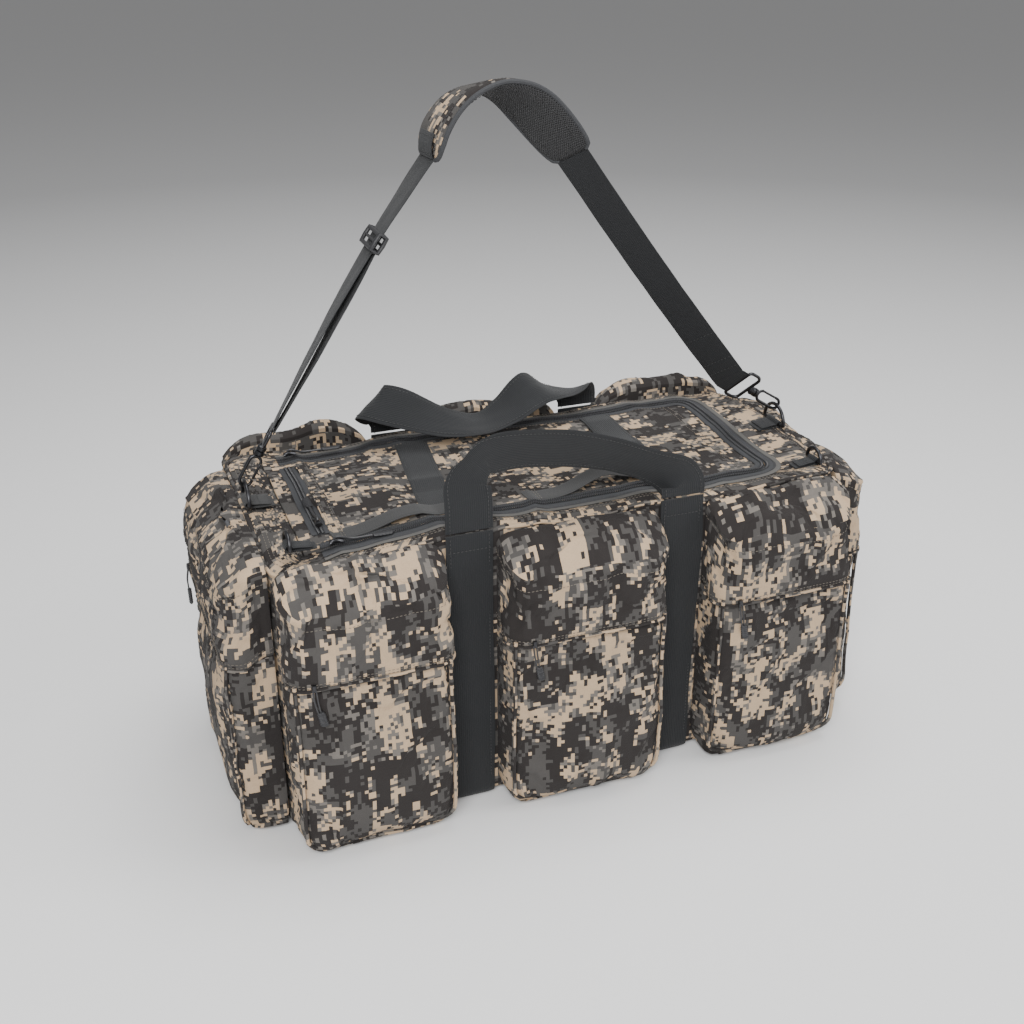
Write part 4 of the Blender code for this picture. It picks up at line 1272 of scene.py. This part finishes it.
# ---------------------------------------------------------------- webbing
def build_girth_bands():
    for name, sign in (("girth_band_left", -1), ("girth_band_right", 1)):
        x = sign * BAND_X
        bottom = 0.0013
        half = [(BAND_Y, DECK - 0.0005), (BAND_Y, DECK * 0.8), (BAND_Y, DECK * 0.5), (BAND_Y, 0.03)]
        half += arc(BAND_Y - 0.010, bottom + 0.010, 0.010, 0, -90, 6)
        points = [(x, -y, z) for y, z in half] + [(x, y, z) for y, z in reversed(half)]
        path = resample(points, 240, False)
        for p in path:
            free = ease(p.z, 0.03, 0.08) * (1 - ease(p.z, DECK - 0.05, DECK - 0.01))
            bow = fold(x, p.y, p.z, 10, 1.5) * 0.0022 * free
            p.y += math.copysign(bow, p.y)
            p.x += fold(x, p.y, p.z, 5, 7.5) * 0.002 * free
        web = ribbon(path, (1, 0, 0), WIDE_WEBBING, WEBBING, seed=x)
        piece(name + "_webbing", web, ["dark_webbing"], "bag", [name])
        for face in (-1, 1):
            for height in (DECK - 0.019, DECK - 0.045):
                bar = []
                for i in range(12):
                    share = i / 11 - 0.5
                    bar.append(Vector((x + share * 0.042, face * (BAND_Y + 0.0016), height)))
                stitch(bar, "bag")
            for side in (-1, 1):
                edge = []
                for i in range(40):
                    z = 0.03 + (DECK - 0.035) * i / 39
                    edge.append(Vector((x + side * 0.0205, face * (BAND_Y + 0.0013), z)))
                stitch(edge, "bag")


FOLD_PINCH = 0.30
FRONT_HANDLE = [
    (-1.00, 0.000, 0.000), (-1.00, 0.000, 0.006), (-1.00, 0.001, 0.030), (-1.00, 0.003, 0.051),
    (-0.91, 0.005, 0.066), (-0.80, 0.007, 0.075), (-0.50, 0.010, 0.075), (-0.10, 0.012, 0.068),
    (0.30, 0.012, 0.055), (0.62, 0.011, 0.040), (0.88, 0.006, 0.026), (0.99, 0.002, 0.014),
    (1.00, 0.000, 0.006), (1.00, 0.000, 0.000),
]
FRONT_SIDES = [
    (1, 0, 0), (1, 0, 0), (1, 0, 0), (1, 0, -0.10), (0.7, 0.1, -0.7), (0.2, 0.2, -0.95),
    (0, 0.35, -1), (-0.12, 0.4, -1), (-0.3, 0.5, -0.85), (-0.5, 0.55, -0.65), (-0.85, 0.35, -0.25),
    (-1, 0.1, 0), (-1, 0, 0), (-1, 0, 0),
]
REAR_HANDLE = [
    (-1.00, 0.000, 0.000), (-1.00, 0.000, 0.006), (-1.01, 0.001, 0.014), (-1.08, 0.006, 0.028),
    (-1.24, 0.018, 0.043), (-1.22, 0.034, 0.050), (-1.00, 0.046, 0.044),
    (-0.62, 0.056, 0.026), (-0.24, 0.060, 0.018),
    (0.04, 0.056, 0.028), (0.28, 0.048, 0.043), (0.42, 0.040, 0.045), (0.66, 0.026, 0.034),
    (0.90, 0.008, 0.025), (0.99, 0.001, 0.014), (1.00, 0.000, 0.006), (1.00, 0.000, 0.000),
]
REAR_SIDES = [
    (1, 0, 0), (1, 0, 0), (1, 0, 0), (1, 0.1, 0.05), (0.85, 0.4, 0.35), (0.6, 0.55, 0.55),
    (0.3, 0.65, 0.7),
    (0.05, 0.9, 0.45), (0, 1, 0.15), (-0.1, 0.95, 0.3), (-0.15, 0.8, 0.6), (-0.35, 0.75, 0.5),
    (-0.75, 0.6, 0.2), (-0.97, 0.2, 0), (-1, 0, 0), (-1, 0, 0), (-1, 0, 0),
]


def build_handle(name, sign, points, side_list):
    """A wide loop of webbing with a line of stitches along both edges."""
    foot = DECK + 0.0025
    rows = [
        (fx * BAND_X, sign * (BAND_Y - inward), foot + up, *side)
        for (fx, inward, up), side in zip(points, side_list)
    ]
    rows = smooth_path(rows, 10)
    path = [Vector(row[:3]) for row in rows]
    path[1].xy = path[0].xy
    path[-2].xy = path[-1].xy
    sides = [row[3:] for row in rows]
    corner = Vector((-0.90 * BAND_X, path[0].y, foot + 0.066))
    widths = []
    for p in path:
        pinch = math.exp(-((p - corner).length / 0.016) ** 2) if sign < 0 else 0.0
        widths.append(WIDE_WEBBING * (1 - FOLD_PINCH * pinch))
    web = ribbon(path, sides, widths, WEBBING, seed=sign * 0.3, ripple=0.0007, columns=11)
    piece(name + "_webbing", web, ["dark_webbing"], name, [name])
    for share in (-0.82, 0.82):
        for face in (-1, 1):
            stitch(offset_line(path, sides, share * WIDE_WEBBING / 2, face * 0.0013), name)


def yield_to_lid(name):
    """Gives a piece of the rear handle its own copy of its mesh."""
    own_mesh(bpy.data.objects[name])


def offset_line(path, sides, across, lift):
    """A line that keeps its place on a ribbon."""
    out = []
    count = len(path)
    for i, point in enumerate(path):
        tangent = (path[min(i + 1, count - 1)] - path[max(i - 1, 0)]).normalized()
        side = Vector(sides[i])
        side = (side - side.dot(tangent) * tangent).normalized()
        out.append(point + side * across + tangent.cross(side) * lift)
    return out


# ---------------------------------------------------------------- rings and hooks
def build_rings():
    for name in ("left_end", "right_end", "left_corner", "right_corner"):
        low, high = (Vector(corner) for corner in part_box(name + "_ring"))
        wire = 0.0021
        radius = (high.y - low.y) / 2 - 0.002
        centre = Vector(((low.x + high.x) / 2, (low.y + high.y) / 2, high.z - 0.002 - radius))
        points = arc(0, 0, radius, 6, 174, 26)
        points += arc(-radius * 0.80, radius * 0.02, radius * 0.20, 180, 268, 5)
        points += arc(radius * 0.80, radius * 0.02, radius * 0.20, 272, 360, 5)
        line = resample([(0, y, max(z, 0.0)) for y, z in points], 70)
        path = [centre + p for p in line]
        body = name + "_ring"
        piece(name + "_d_ring", tube(path, wire, True, 12), ["coated_metal"], body, [body])
        build_tab(name)


def build_tab(name):
    """Folded webbing round a ring's bar, its tail sewn flat to the deck."""
    low, high = (Vector(corner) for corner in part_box(name + "_tab"))
    ring_low, ring_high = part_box(name + "_ring")
    ring_x = (ring_low[0] + ring_high[0]) / 2
    ring_y = (low.y + high.y) / 2
    tail = 1 if high.x - ring_x > ring_x - low.x else -1
    bar_z = ring_low[2] + 0.002
    length = (high.x - ring_x) if tail > 0 else (ring_x - low.x)
    around = 0.0036
    path = [(length, -0.0036), (length * 0.6, -0.0036), (0.0060, -0.0034)]
    path += [(px, pz) for px, pz in arc(0, 0, around, -70, -350, 14)]
    path += [(0.010, 0.0002), (0.018, -0.0010), (length * 0.86, -0.0014)]
    line = resample([(ring_x + tail * px, ring_y, bar_z + pz) for px, pz in path], 60, False)
    web = ribbon(line, (0, 1, 0), high.y - low.y, 0.0016, seed=ring_x)
    finish = "lash_webbing" if name == "left_end" else "dark_webbing"
    piece(name + "_tab_webbing", web, [finish], "bag", [name + "_tab"])
    half = (high.y - low.y) / 2 - 0.003
    for along in (0.012, length * 0.8):
        bar = [Vector((ring_x + tail * along, ring_y - half + 2 * half * i / 6, bar_z + 0.0012))
               for i in range(7)]
        stitch(bar, "bag")


LEFT_TILTS = (16.0, -4.0)
RIGHT_TILTS = (-54.0, -46.0)
HOOK_LEANS = {"left": (-1, 59.0, LEFT_TILTS[0]), "right": (1, 148.0, RIGHT_TILTS[0])}
EYE_LENGTH = 0.032
EYE_HALF = 0.008
HOOK_WIRE = 0.0034
BAR_AT = 0.064


def hook_frame(sign, lean):
    """Local axes of a hook: X across its eye, Y through it, Z along it away from the ring."""
    along = Vector((math.cos(math.radians(lean)), 0, math.sin(math.radians(lean))))
    through = Vector((0, 1, 0))
    turned = Matrix((through.cross(along), through, along)).transposed().to_4x4()
    return Matrix.Translation((sign * RING_X, 0, RING_TOP)) @ turned


def tilt_side(tangent, tilt):
    """The width direction of webbing tipped about its run by tilt degrees."""
    inner = Vector((tangent.z, 0, -tangent.x))
    angle = math.radians(tilt)
    return Vector((0, 1, 0)) * math.cos(angle) + inner * math.sin(angle)


def build_hook(name):
    sign, lean, tilt = HOOK_LEANS[name]
    place = hook_frame(sign, lean)
    reach = EYE_HALF - HOOK_WIRE / 2
    low = -0.0024 - HOOK_WIRE / 2
    high = EYE_LENGTH - HOOK_WIRE / 2
    hook = arc(0, low + reach, reach, 0, -180, 14)
    points = [(reach, 0.0050)] + hook + [(-reach, high - 0.007)]
    points += arc(0, high - reach, reach, 180, 0, 12)
    points += [(reach, 0.0262)]
    line = resample([(x, 0, z) for x, z in points], 90, False)
    path = [place @ p for p in line]
    radius = [HOOK_WIRE / 2 * (0.92 + 0.18 * math.sin(math.pi * i / 89)) for i in range(90)]
    piece(name + "_snap_hook", tube(path, radius, False, 14), ["coated_metal"],
          "shoulder_strap", [name + "_hook"])
    gate = [place @ Vector((reach, 0, z)) for z in (0.0062, 0.0068, 0.012, 0.018, 0.0226, 0.0234)]
    gate_radius = [0.0009, 0.0013, 0.0014, 0.0014, 0.0013, 0.0009]
    piece(name + "_gate_lever", tube(gate, gate_radius, False, 12), ["coated_metal"],
          name + "_hook_gate", [name + "_hook_gate"])
    along = place.to_3x3() @ Vector((0, 0, 1))
    side = place.to_3x3().inverted() @ tilt_side(along, tilt)
    swivel = place @ Matrix.Rotation(math.atan2(side.y, side.x), 4, "Z")
    barrel_path = [swivel @ Vector((0, 0, EYE_LENGTH + z)) for z in
                   (0.0002, 0.0010, 0.0045, 0.0052, 0.0060, 0.0100, 0.0110, 0.0135)]
    barrel = tube(barrel_path, [0.0036, 0.0052, 0.0054, 0.0036, 0.0050, 0.0052, 0.0038, 0.0030],
                  False, 16)
    half = 0.0217
    start = EYE_LENGTH + 0.0135
    loop = arc(half - 0.004, BAR_AT - 0.004, 0.004, 0, 90, 5)
    loop += arc(-half + 0.004, BAR_AT - 0.004, 0.004, 90, 180, 5)
    loop += arc(-half + 0.008, start + 0.008, 0.008, 180, 250, 5)
    loop += arc(half - 0.008, start + 0.008, 0.008, 290, 360, 5)
    ring = tube([swivel @ p for p in resample([(x, 0, z) for x, z in loop], 70)], 0.0019, True, 12)
    piece(name + "_swivel_loop", merge([barrel, ring]), ["coated_metal"],
          "shoulder_strap", [name + "_hook_swivel"])


# ---------------------------------------------------------------- shoulder strap
PAD_ARCH = [
    (-0.334, 1.069, -4), (-0.306, 1.156, -3), (-0.250, 1.225, 0), (-0.172, 1.259, 9),
    (-0.088, 1.253, 22), (0.006, 1.194, 37), (0.144, 1.044, 46),
]
LEFT_BOW = 0.012
ADJUSTER_SHARE = 0.66
STRAP_WEBBING = 0.038
PAD_WIDTH = 0.062


def strap_rows(path, tilts, lift=0.0):
    """Points and width directions of a strap, moved off its line by lift."""
    rows, sides = [], []
    count = len(path)
    for i, point in enumerate(path):
        tangent = (path[min(i + 1, count - 1)] - path[max(i - 1, 0)]).normalized()
        side = tilt_side(tangent, tilts[i])
        rows.append(point + tangent.cross(side) * lift)
        sides.append(side)
    return rows, sides


def sagging_run(start, end, sag, steps):
    """Points from start to end that hang below the straight line, or bow over it."""
    points = []
    for i in range(steps + 1):
        share = i / steps
        drop = sag * math.sin(math.pi * share)
        points.append(start.lerp(end, share) - Vector((0, 0, drop)))
    return points


def hook_end(name):
    sign, lean, _ = HOOK_LEANS[name]
    place = hook_frame(sign, lean)
    return place @ Vector((0, 0, BAR_AT - 0.0008)), place.to_3x3() @ Vector((0, 0, 1))


def pad_line(steps):
    """The arch of the pad, with its tilts."""
    rows = smooth_path([(x * HALF_LENGTH, DECK + z * HALF_LENGTH, t) for x, z, t in PAD_ARCH], steps)
    return [Vector((x, 0, z)) for x, z, _ in rows], [t for _, _, t in rows]


def between(ends, steps, most=1.0):
    """Even steps from one tilt towards another."""
    return [ends[0] + (ends[1] - ends[0]) * most * i / steps for i in range(steps + 1)]


def build_strap():
    body = "shoulder_strap"
    left_start, _ = hook_end("left")
    right_start, right_lead = hook_end("right")
    arch, _ = pad_line(3)
    left_way = (arch[0] - left_start).normalized()
    right_way = (arch[-1] - right_start).normalized()

    path = sagging_run(left_start, arch[0] + left_way * 0.020, -LEFT_BOW, 80)
    at = int(80 * ADJUSTER_SHARE * 0.95)
    adjuster, adjuster_way = path[at], (path[at + 1] - path[at]).normalized()
    rows, sides = strap_rows(path, between(LEFT_TILTS, 80))
    piece("long_strap", ribbon(rows, sides, STRAP_WEBBING, 0.0018, seed=0.9, ripple=0.0005),
          ["dark_webbing"], body, ["strap_webbing_left"])
    sew_end(rows, sides, (79, 74), 0.30, body)
    path = sagging_run(left_start, adjuster - adjuster_way * 0.006, 0.004, 50)
    rows, sides = strap_rows(path, between(LEFT_TILTS, 50, ADJUSTER_SHARE), -0.0030)
    web = ribbon(rows, sides, STRAP_WEBBING * 0.96, 0.0018, seed=1.9, ripple=0.0005)
    piece("doubled_strap", web, ["dark_webbing"], body, ["strap_return"])
    lead = right_start + right_lead * 0.014
    path = [right_start] + sagging_run(lead, arch[-1] + right_way * 0.020, 0.004, 70)
    rows, sides = strap_rows(path, [RIGHT_TILTS[0]] + between(RIGHT_TILTS, 70))
    web = ribbon(rows, sides, STRAP_WEBBING, 0.0018, seed=2.9, ripple=0.0005)
    piece("short_strap", web, ["dark_webbing"], body, ["strap_webbing_right"])
    sew_end(rows, sides, (4, 7, 15, 70), 0.40, body)
    build_pad(body)
    build_adjuster(adjuster, adjuster_way, body)


def sew_end(rows, sides, places, share, body):
    """Bars of stitches across a strap, on both of its faces."""
    half = STRAP_WEBBING * share
    for along in places:
        way = (rows[along] - rows[along - 1]).normalized()
        bar = [rows[along] + sides[along] * (-half + 2 * half * i / 8) for i in range(9)]
        for face in (-1, 1):
            lift = way.cross(sides[along]).normalized() * face * 0.0013
            stitch([p + lift for p in bar], body)


def pad_half(share):
    """Half the pad's width, which is round at both ends; share is 0 at an end."""
    bulge = math.sqrt(max(0.0, 1 - (1 - min(1.0, share * 5)) ** 2))
    return (STRAP_WEBBING * 0.9 + (PAD_WIDTH - STRAP_WEBBING * 0.9) * bulge) / 2


def build_pad(body):
    """A padded, arched shoulder pad: printed cloth outside, spacer mesh inside, bound edges."""
    line, sides = strap_rows(*pad_line(10))
    last = len(line) - 1
    skin_rows, edges = [], ([], [])
    for i, point in enumerate(line):
        tangent = (line[min(i + 1, last)] - line[max(i - 1, 0)]).normalized()
        side = (sides[i] - sides[i].dot(tangent) * tangent).normalized()
        normal = tangent.cross(side)
        ends = min(i, last - i) / last
        half = pad_half(ends)
        body_half = 0.0044 * ease(ends, -0.02, 0.10) + 0.0012
        ring = []
        for k in range(36):
            angle = 2 * math.pi * k / 36
            across = math.copysign(abs(math.cos(angle)) ** 0.55, math.cos(angle))
            swell = math.copysign(abs(math.sin(angle)) ** 0.75, math.sin(angle))
            ruck = fold(point.x, across * 0.03, point.z, 26, 6.0) * 0.0014
            ring.append(point + side * half * across + normal * (body_half * swell + ruck))
        skin_rows.append(ring)
        for edge, sign in zip(edges, (-1, 1)):
            edge.append(point + side * sign * (half + 0.0002))
    mesh_data = skin(skin_rows, True, True, True, 4.4)
    pad = piece("shoulder_pad_cloth", mesh_data, ["camouflage_cloth", "mesh_lining"], body,
                ["shoulder_pad"], 180)
    for index, face in enumerate(pad.data.polygons):
        if index < last * 36 and index % 36 >= 18:
            face.material_index = 1
    patch = []
    for i in range(9):
        way = (line[i + 1] - line[max(i - 1, 0)]).normalized()
        outside = way.cross((sides[i] - sides[i].dot(way) * way).normalized())
        patch.append(line[i] + outside * (0.0046 * ease(i / last, -0.02, 0.10) + 0.0026))
    web = ribbon(patch, sides[:9], STRAP_WEBBING * 0.94, 0.0018, seed=7.1)
    piece("pad_end_webbing", web, ["dark_webbing"], body)
    sew_end(patch, sides, (2, 7), 0.40, body)
    for name, edge in zip(("pad_binding_near", "pad_binding_far"), edges):
        piece(name, tube(edge, 0.0024, False, 8), ["zip_tape"], body)
    for across in (-0.72, 0.72):
        for face in (-1, 1):
            seam = []
            for i in range(4, last - 3):
                tangent = (line[i + 1] - line[i - 1]).normalized()
                side = (sides[i] - sides[i].dot(tangent) * tangent).normalized()
                half = pad_half(min(i, last - i) / last)
                lift = face * 0.0050
                seam.append(line[i] + side * half * across + tangent.cross(side) * lift)
            stitch(seam, body)


def build_adjuster(centre, way, body):
    """A moulded two-slot frame that the doubled strap runs through."""
    through = tilt_side(way, LEFT_TILTS[0] + (LEFT_TILTS[1] - LEFT_TILTS[0]) * ADJUSTER_SHARE)
    normal = way.cross(through)
    place = Matrix((through, -normal, way)).transposed().to_4x4()
    place.translation = centre
    half = 0.0215
    parts = []
    for along in (-0.0078, 0.0, 0.0078):
        thick = 0.0022 if along else 0.0016
        points = [(-half, along), (-half * 0.5, along), (half * 0.5, along), (half, along)]
        for lift in (-0.0040, 0.0040):
            line = [place @ Vector((x, lift, z)) for x, z in points]
            parts.append(tube(line, thick, False, 10))
    for side in (-1, 1):
        line = [place @ Vector((side * half, y, z)) for y, z in
                ((-0.004, -0.0085), (0.0, -0.0088), (0.004, -0.0085), (0.0045, 0.0),
                 (0.004, 0.0085), (0.0, 0.0088), (-0.004, 0.0085), (-0.0045, 0.0))]
        parts.append(tube(line, 0.0023, True, 10))
    piece("strap_adjuster_frame", merge(parts), ["moulded"], body, ["strap_adjuster"])


# ---------------------------------------------------------------- stage
def build_stage():
    mesh_data = bmesh.new()
    bmesh.ops.create_grid(mesh_data, x_segments=2, y_segments=2, size=14.0)
    mesh = bpy.data.meshes.new("studio_floor")
    mesh_data.to_mesh(mesh)
    mesh_data.free()
    floor = bpy.data.objects.new("studio_floor", mesh)
    bpy.context.scene.collection.objects.link(floor)
    shader = Shader("studio_floor", Roughness=0.9)
    # Painted pool of light: the floor is painted pale near the bag and darker further away.
    place = shader.node("ShaderNodeTexCoord", {}, output=3)
    away = shader.node("ShaderNodeVectorMath", {"operation": "LENGTH"}, place, output=1)
    far = shader.node("ShaderNodeMapRange", {}, away, 0.8, 3.4, 0.0, 1.0)
    shader.set("Base Color", shader.mix(far, (0.84, 0.84, 0.84), (0.50, 0.50, 0.505)))
    mesh.materials.append(shader.material)

    azimuth, elevation, distance = math.radians(-20.7), math.radians(25.9), 1.44
    target = Vector((-0.02, 0.0, 0.272))
    back = Vector((
        math.sin(azimuth) * math.cos(elevation), -math.cos(azimuth) * math.cos(elevation),
        math.sin(elevation),
    ))
    camera = bpy.data.objects.new("camera", bpy.data.cameras.new("camera"))
    bpy.context.scene.collection.objects.link(camera)
    camera.data.lens = 44.6
    camera.data.sensor_width = 36.0
    camera.location = target + back * distance
    camera.rotation_euler = (-back).to_track_quat("-Z", "Y").to_euler()
    bpy.context.scene.camera = camera

    world = bpy.data.worlds.new("studio")
    world.use_nodes = True
    world.node_tree.nodes["Background"].inputs[0].default_value = (1.0, 1.0, 1.0, 1.0)
    world.node_tree.nodes["Background"].inputs[1].default_value = 0.40
    bpy.context.scene.world = world
    for name, place, size, power in (
        ("key_light", (-1.1, -2.3, 2.2), 1.4, 104.0),
        ("top_light", (0.4, 0.2, 2.9), 1.7, 56.0),
        ("side_light", (2.4, -1.2, 1.5), 1.3, 30.0),
    ):
        light = bpy.data.lights.new(name, "AREA")
        light.energy = power
        light.size = size
        lamp = bpy.data.objects.new(name, light)
        bpy.context.scene.collection.objects.link(lamp)
        lamp.location = place
        aim = Vector((0, 0, 0.3)) - Vector(place)
        lamp.rotation_euler = aim.to_track_quat("-Z", "Y").to_euler()


# ---------------------------------------------------------------- operators
class DUFFEL_OT_body(bpy.types.Operator):
    """Makes the bag's body with its deck and top edge piping"""

    bl_idname = "duffel.body"
    bl_label = "Body"

    def execute(self, context):
        build_body()
        return {"FINISHED"}


class DUFFEL_OT_pockets(bpy.types.Operator):
    """Makes the eight pockets with their hoods and zip pulls"""

    bl_idname = "duffel.pockets"
    bl_label = "Pockets"

    def execute(self, context):
        for number, name in enumerate(POCKETS):
            build_pocket_tray(name, 1.0 + number * 1.37)
            build_pocket_hood(name, 2.0 + number * 1.91)
            build_pull(name)
        return {"FINISHED"}


class DUFFEL_OT_lid(bpy.types.Operator):
    """Makes the lid and the webbing that is sewn to it"""

    bl_idname = "duffel.lid"
    bl_label = "Lid"

    def execute(self, context):
        build_lid()
        build_lid_webbing()
        return {"FINISHED"}


class DUFFEL_OT_zips(bpy.types.Operator):
    """Makes the coils, tapes and sliders of the main zip and the lid pocket's zip"""

    bl_idname = "duffel.zips"
    bl_label = "Zips"

    def execute(self, context):
        build_zips()
        return {"FINISHED"}


class DUFFEL_OT_bands(bpy.types.Operator):
    """Makes the girth bands and both carry handles"""

    bl_idname = "duffel.bands"
    bl_label = "Bands and Handles"

    def execute(self, context):
        build_girth_bands()
        build_handle("front_handle", -1, FRONT_HANDLE, FRONT_SIDES)
        build_handle("rear_handle", 1, REAR_HANDLE, REAR_SIDES)
        yield_to_lid("rear_handle_webbing")
        return {"FINISHED"}


class DUFFEL_OT_fittings(bpy.types.Operator):
    """Makes the rings, their tabs, and both snap hooks"""

    bl_idname = "duffel.fittings"
    bl_label = "Rings and Hooks"

    def execute(self, context):
        build_rings()
        build_hook("left")
        build_hook("right")
        return {"FINISHED"}


class DUFFEL_OT_strap(bpy.types.Operator):
    """Makes the shoulder strap with its pad and adjuster"""

    bl_idname = "duffel.strap"
    bl_label = "Shoulder Strap"

    def execute(self, context):
        build_strap()
        return {"FINISHED"}


class DUFFEL_OT_stitching(bpy.types.Operator):
    """Sews every seam line that the other operators left"""

    bl_idname = "duffel.stitching"
    bl_label = "Stitching"

    def execute(self, context):
        for (body, finish), lines in STITCHES.items():
            name = f"{body}_{finish}_stitches"
            bead = (sizes().stitch_pitch * 0.74, 0.0008, 0.0007)
            beads(name, lines, sizes().stitch_pitch, bead, 0.0, finish, body)
        yield_to_lid("rear_handle_thread_stitches")
        for name in POCKETS:
            flatten_hood(name)
        return {"FINISHED"}


class DUFFEL_OT_stage(bpy.types.Operator):
    """Sets the floor, the lights and the camera"""

    bl_idname = "duffel.stage"
    bl_label = "Stage"

    def execute(self, context):
        build_stage()
        return {"FINISHED"}


STEPS = [
    DUFFEL_OT_body, DUFFEL_OT_pockets, DUFFEL_OT_lid, DUFFEL_OT_zips, DUFFEL_OT_bands,
    DUFFEL_OT_fittings, DUFFEL_OT_strap, DUFFEL_OT_stitching, DUFFEL_OT_stage,
]


class DUFFEL_PT_panel(bpy.types.Panel):
    """Lists the settings and the steps"""

    bl_idname = "DUFFEL_PT_panel"
    bl_label = "Duffel Bag"
    bl_space_type = "VIEW_3D"
    bl_region_type = "UI"
    bl_category = "Duffel"

    def draw(self, context):
        for group in (context.scene.duffel_sizes, context.scene.duffel_colours):
            for key in group.__annotations__:
                self.layout.prop(group, key)
        for step in STEPS:
            self.layout.operator(step.bl_idname)


CLASSES = [DuffelSizes, DuffelColours, *STEPS, DUFFEL_PT_panel]


def register():
    for cls in CLASSES:
        bpy.utils.register_class(cls)
    bpy.types.Scene.duffel_sizes = bpy.props.PointerProperty(type=DuffelSizes)
    bpy.types.Scene.duffel_colours = bpy.props.PointerProperty(type=DuffelColours)


def unregister():
    del bpy.types.Scene.duffel_colours
    del bpy.types.Scene.duffel_sizes
    for cls in reversed(CLASSES):
        bpy.utils.unregister_class(cls)


def main():
    register()
    for step in STEPS:
        getattr(bpy.ops.duffel, step.bl_idname.split(".")[1])()
    bpy.context.view_layer.update()


if __name__ == "__main__":
    main()
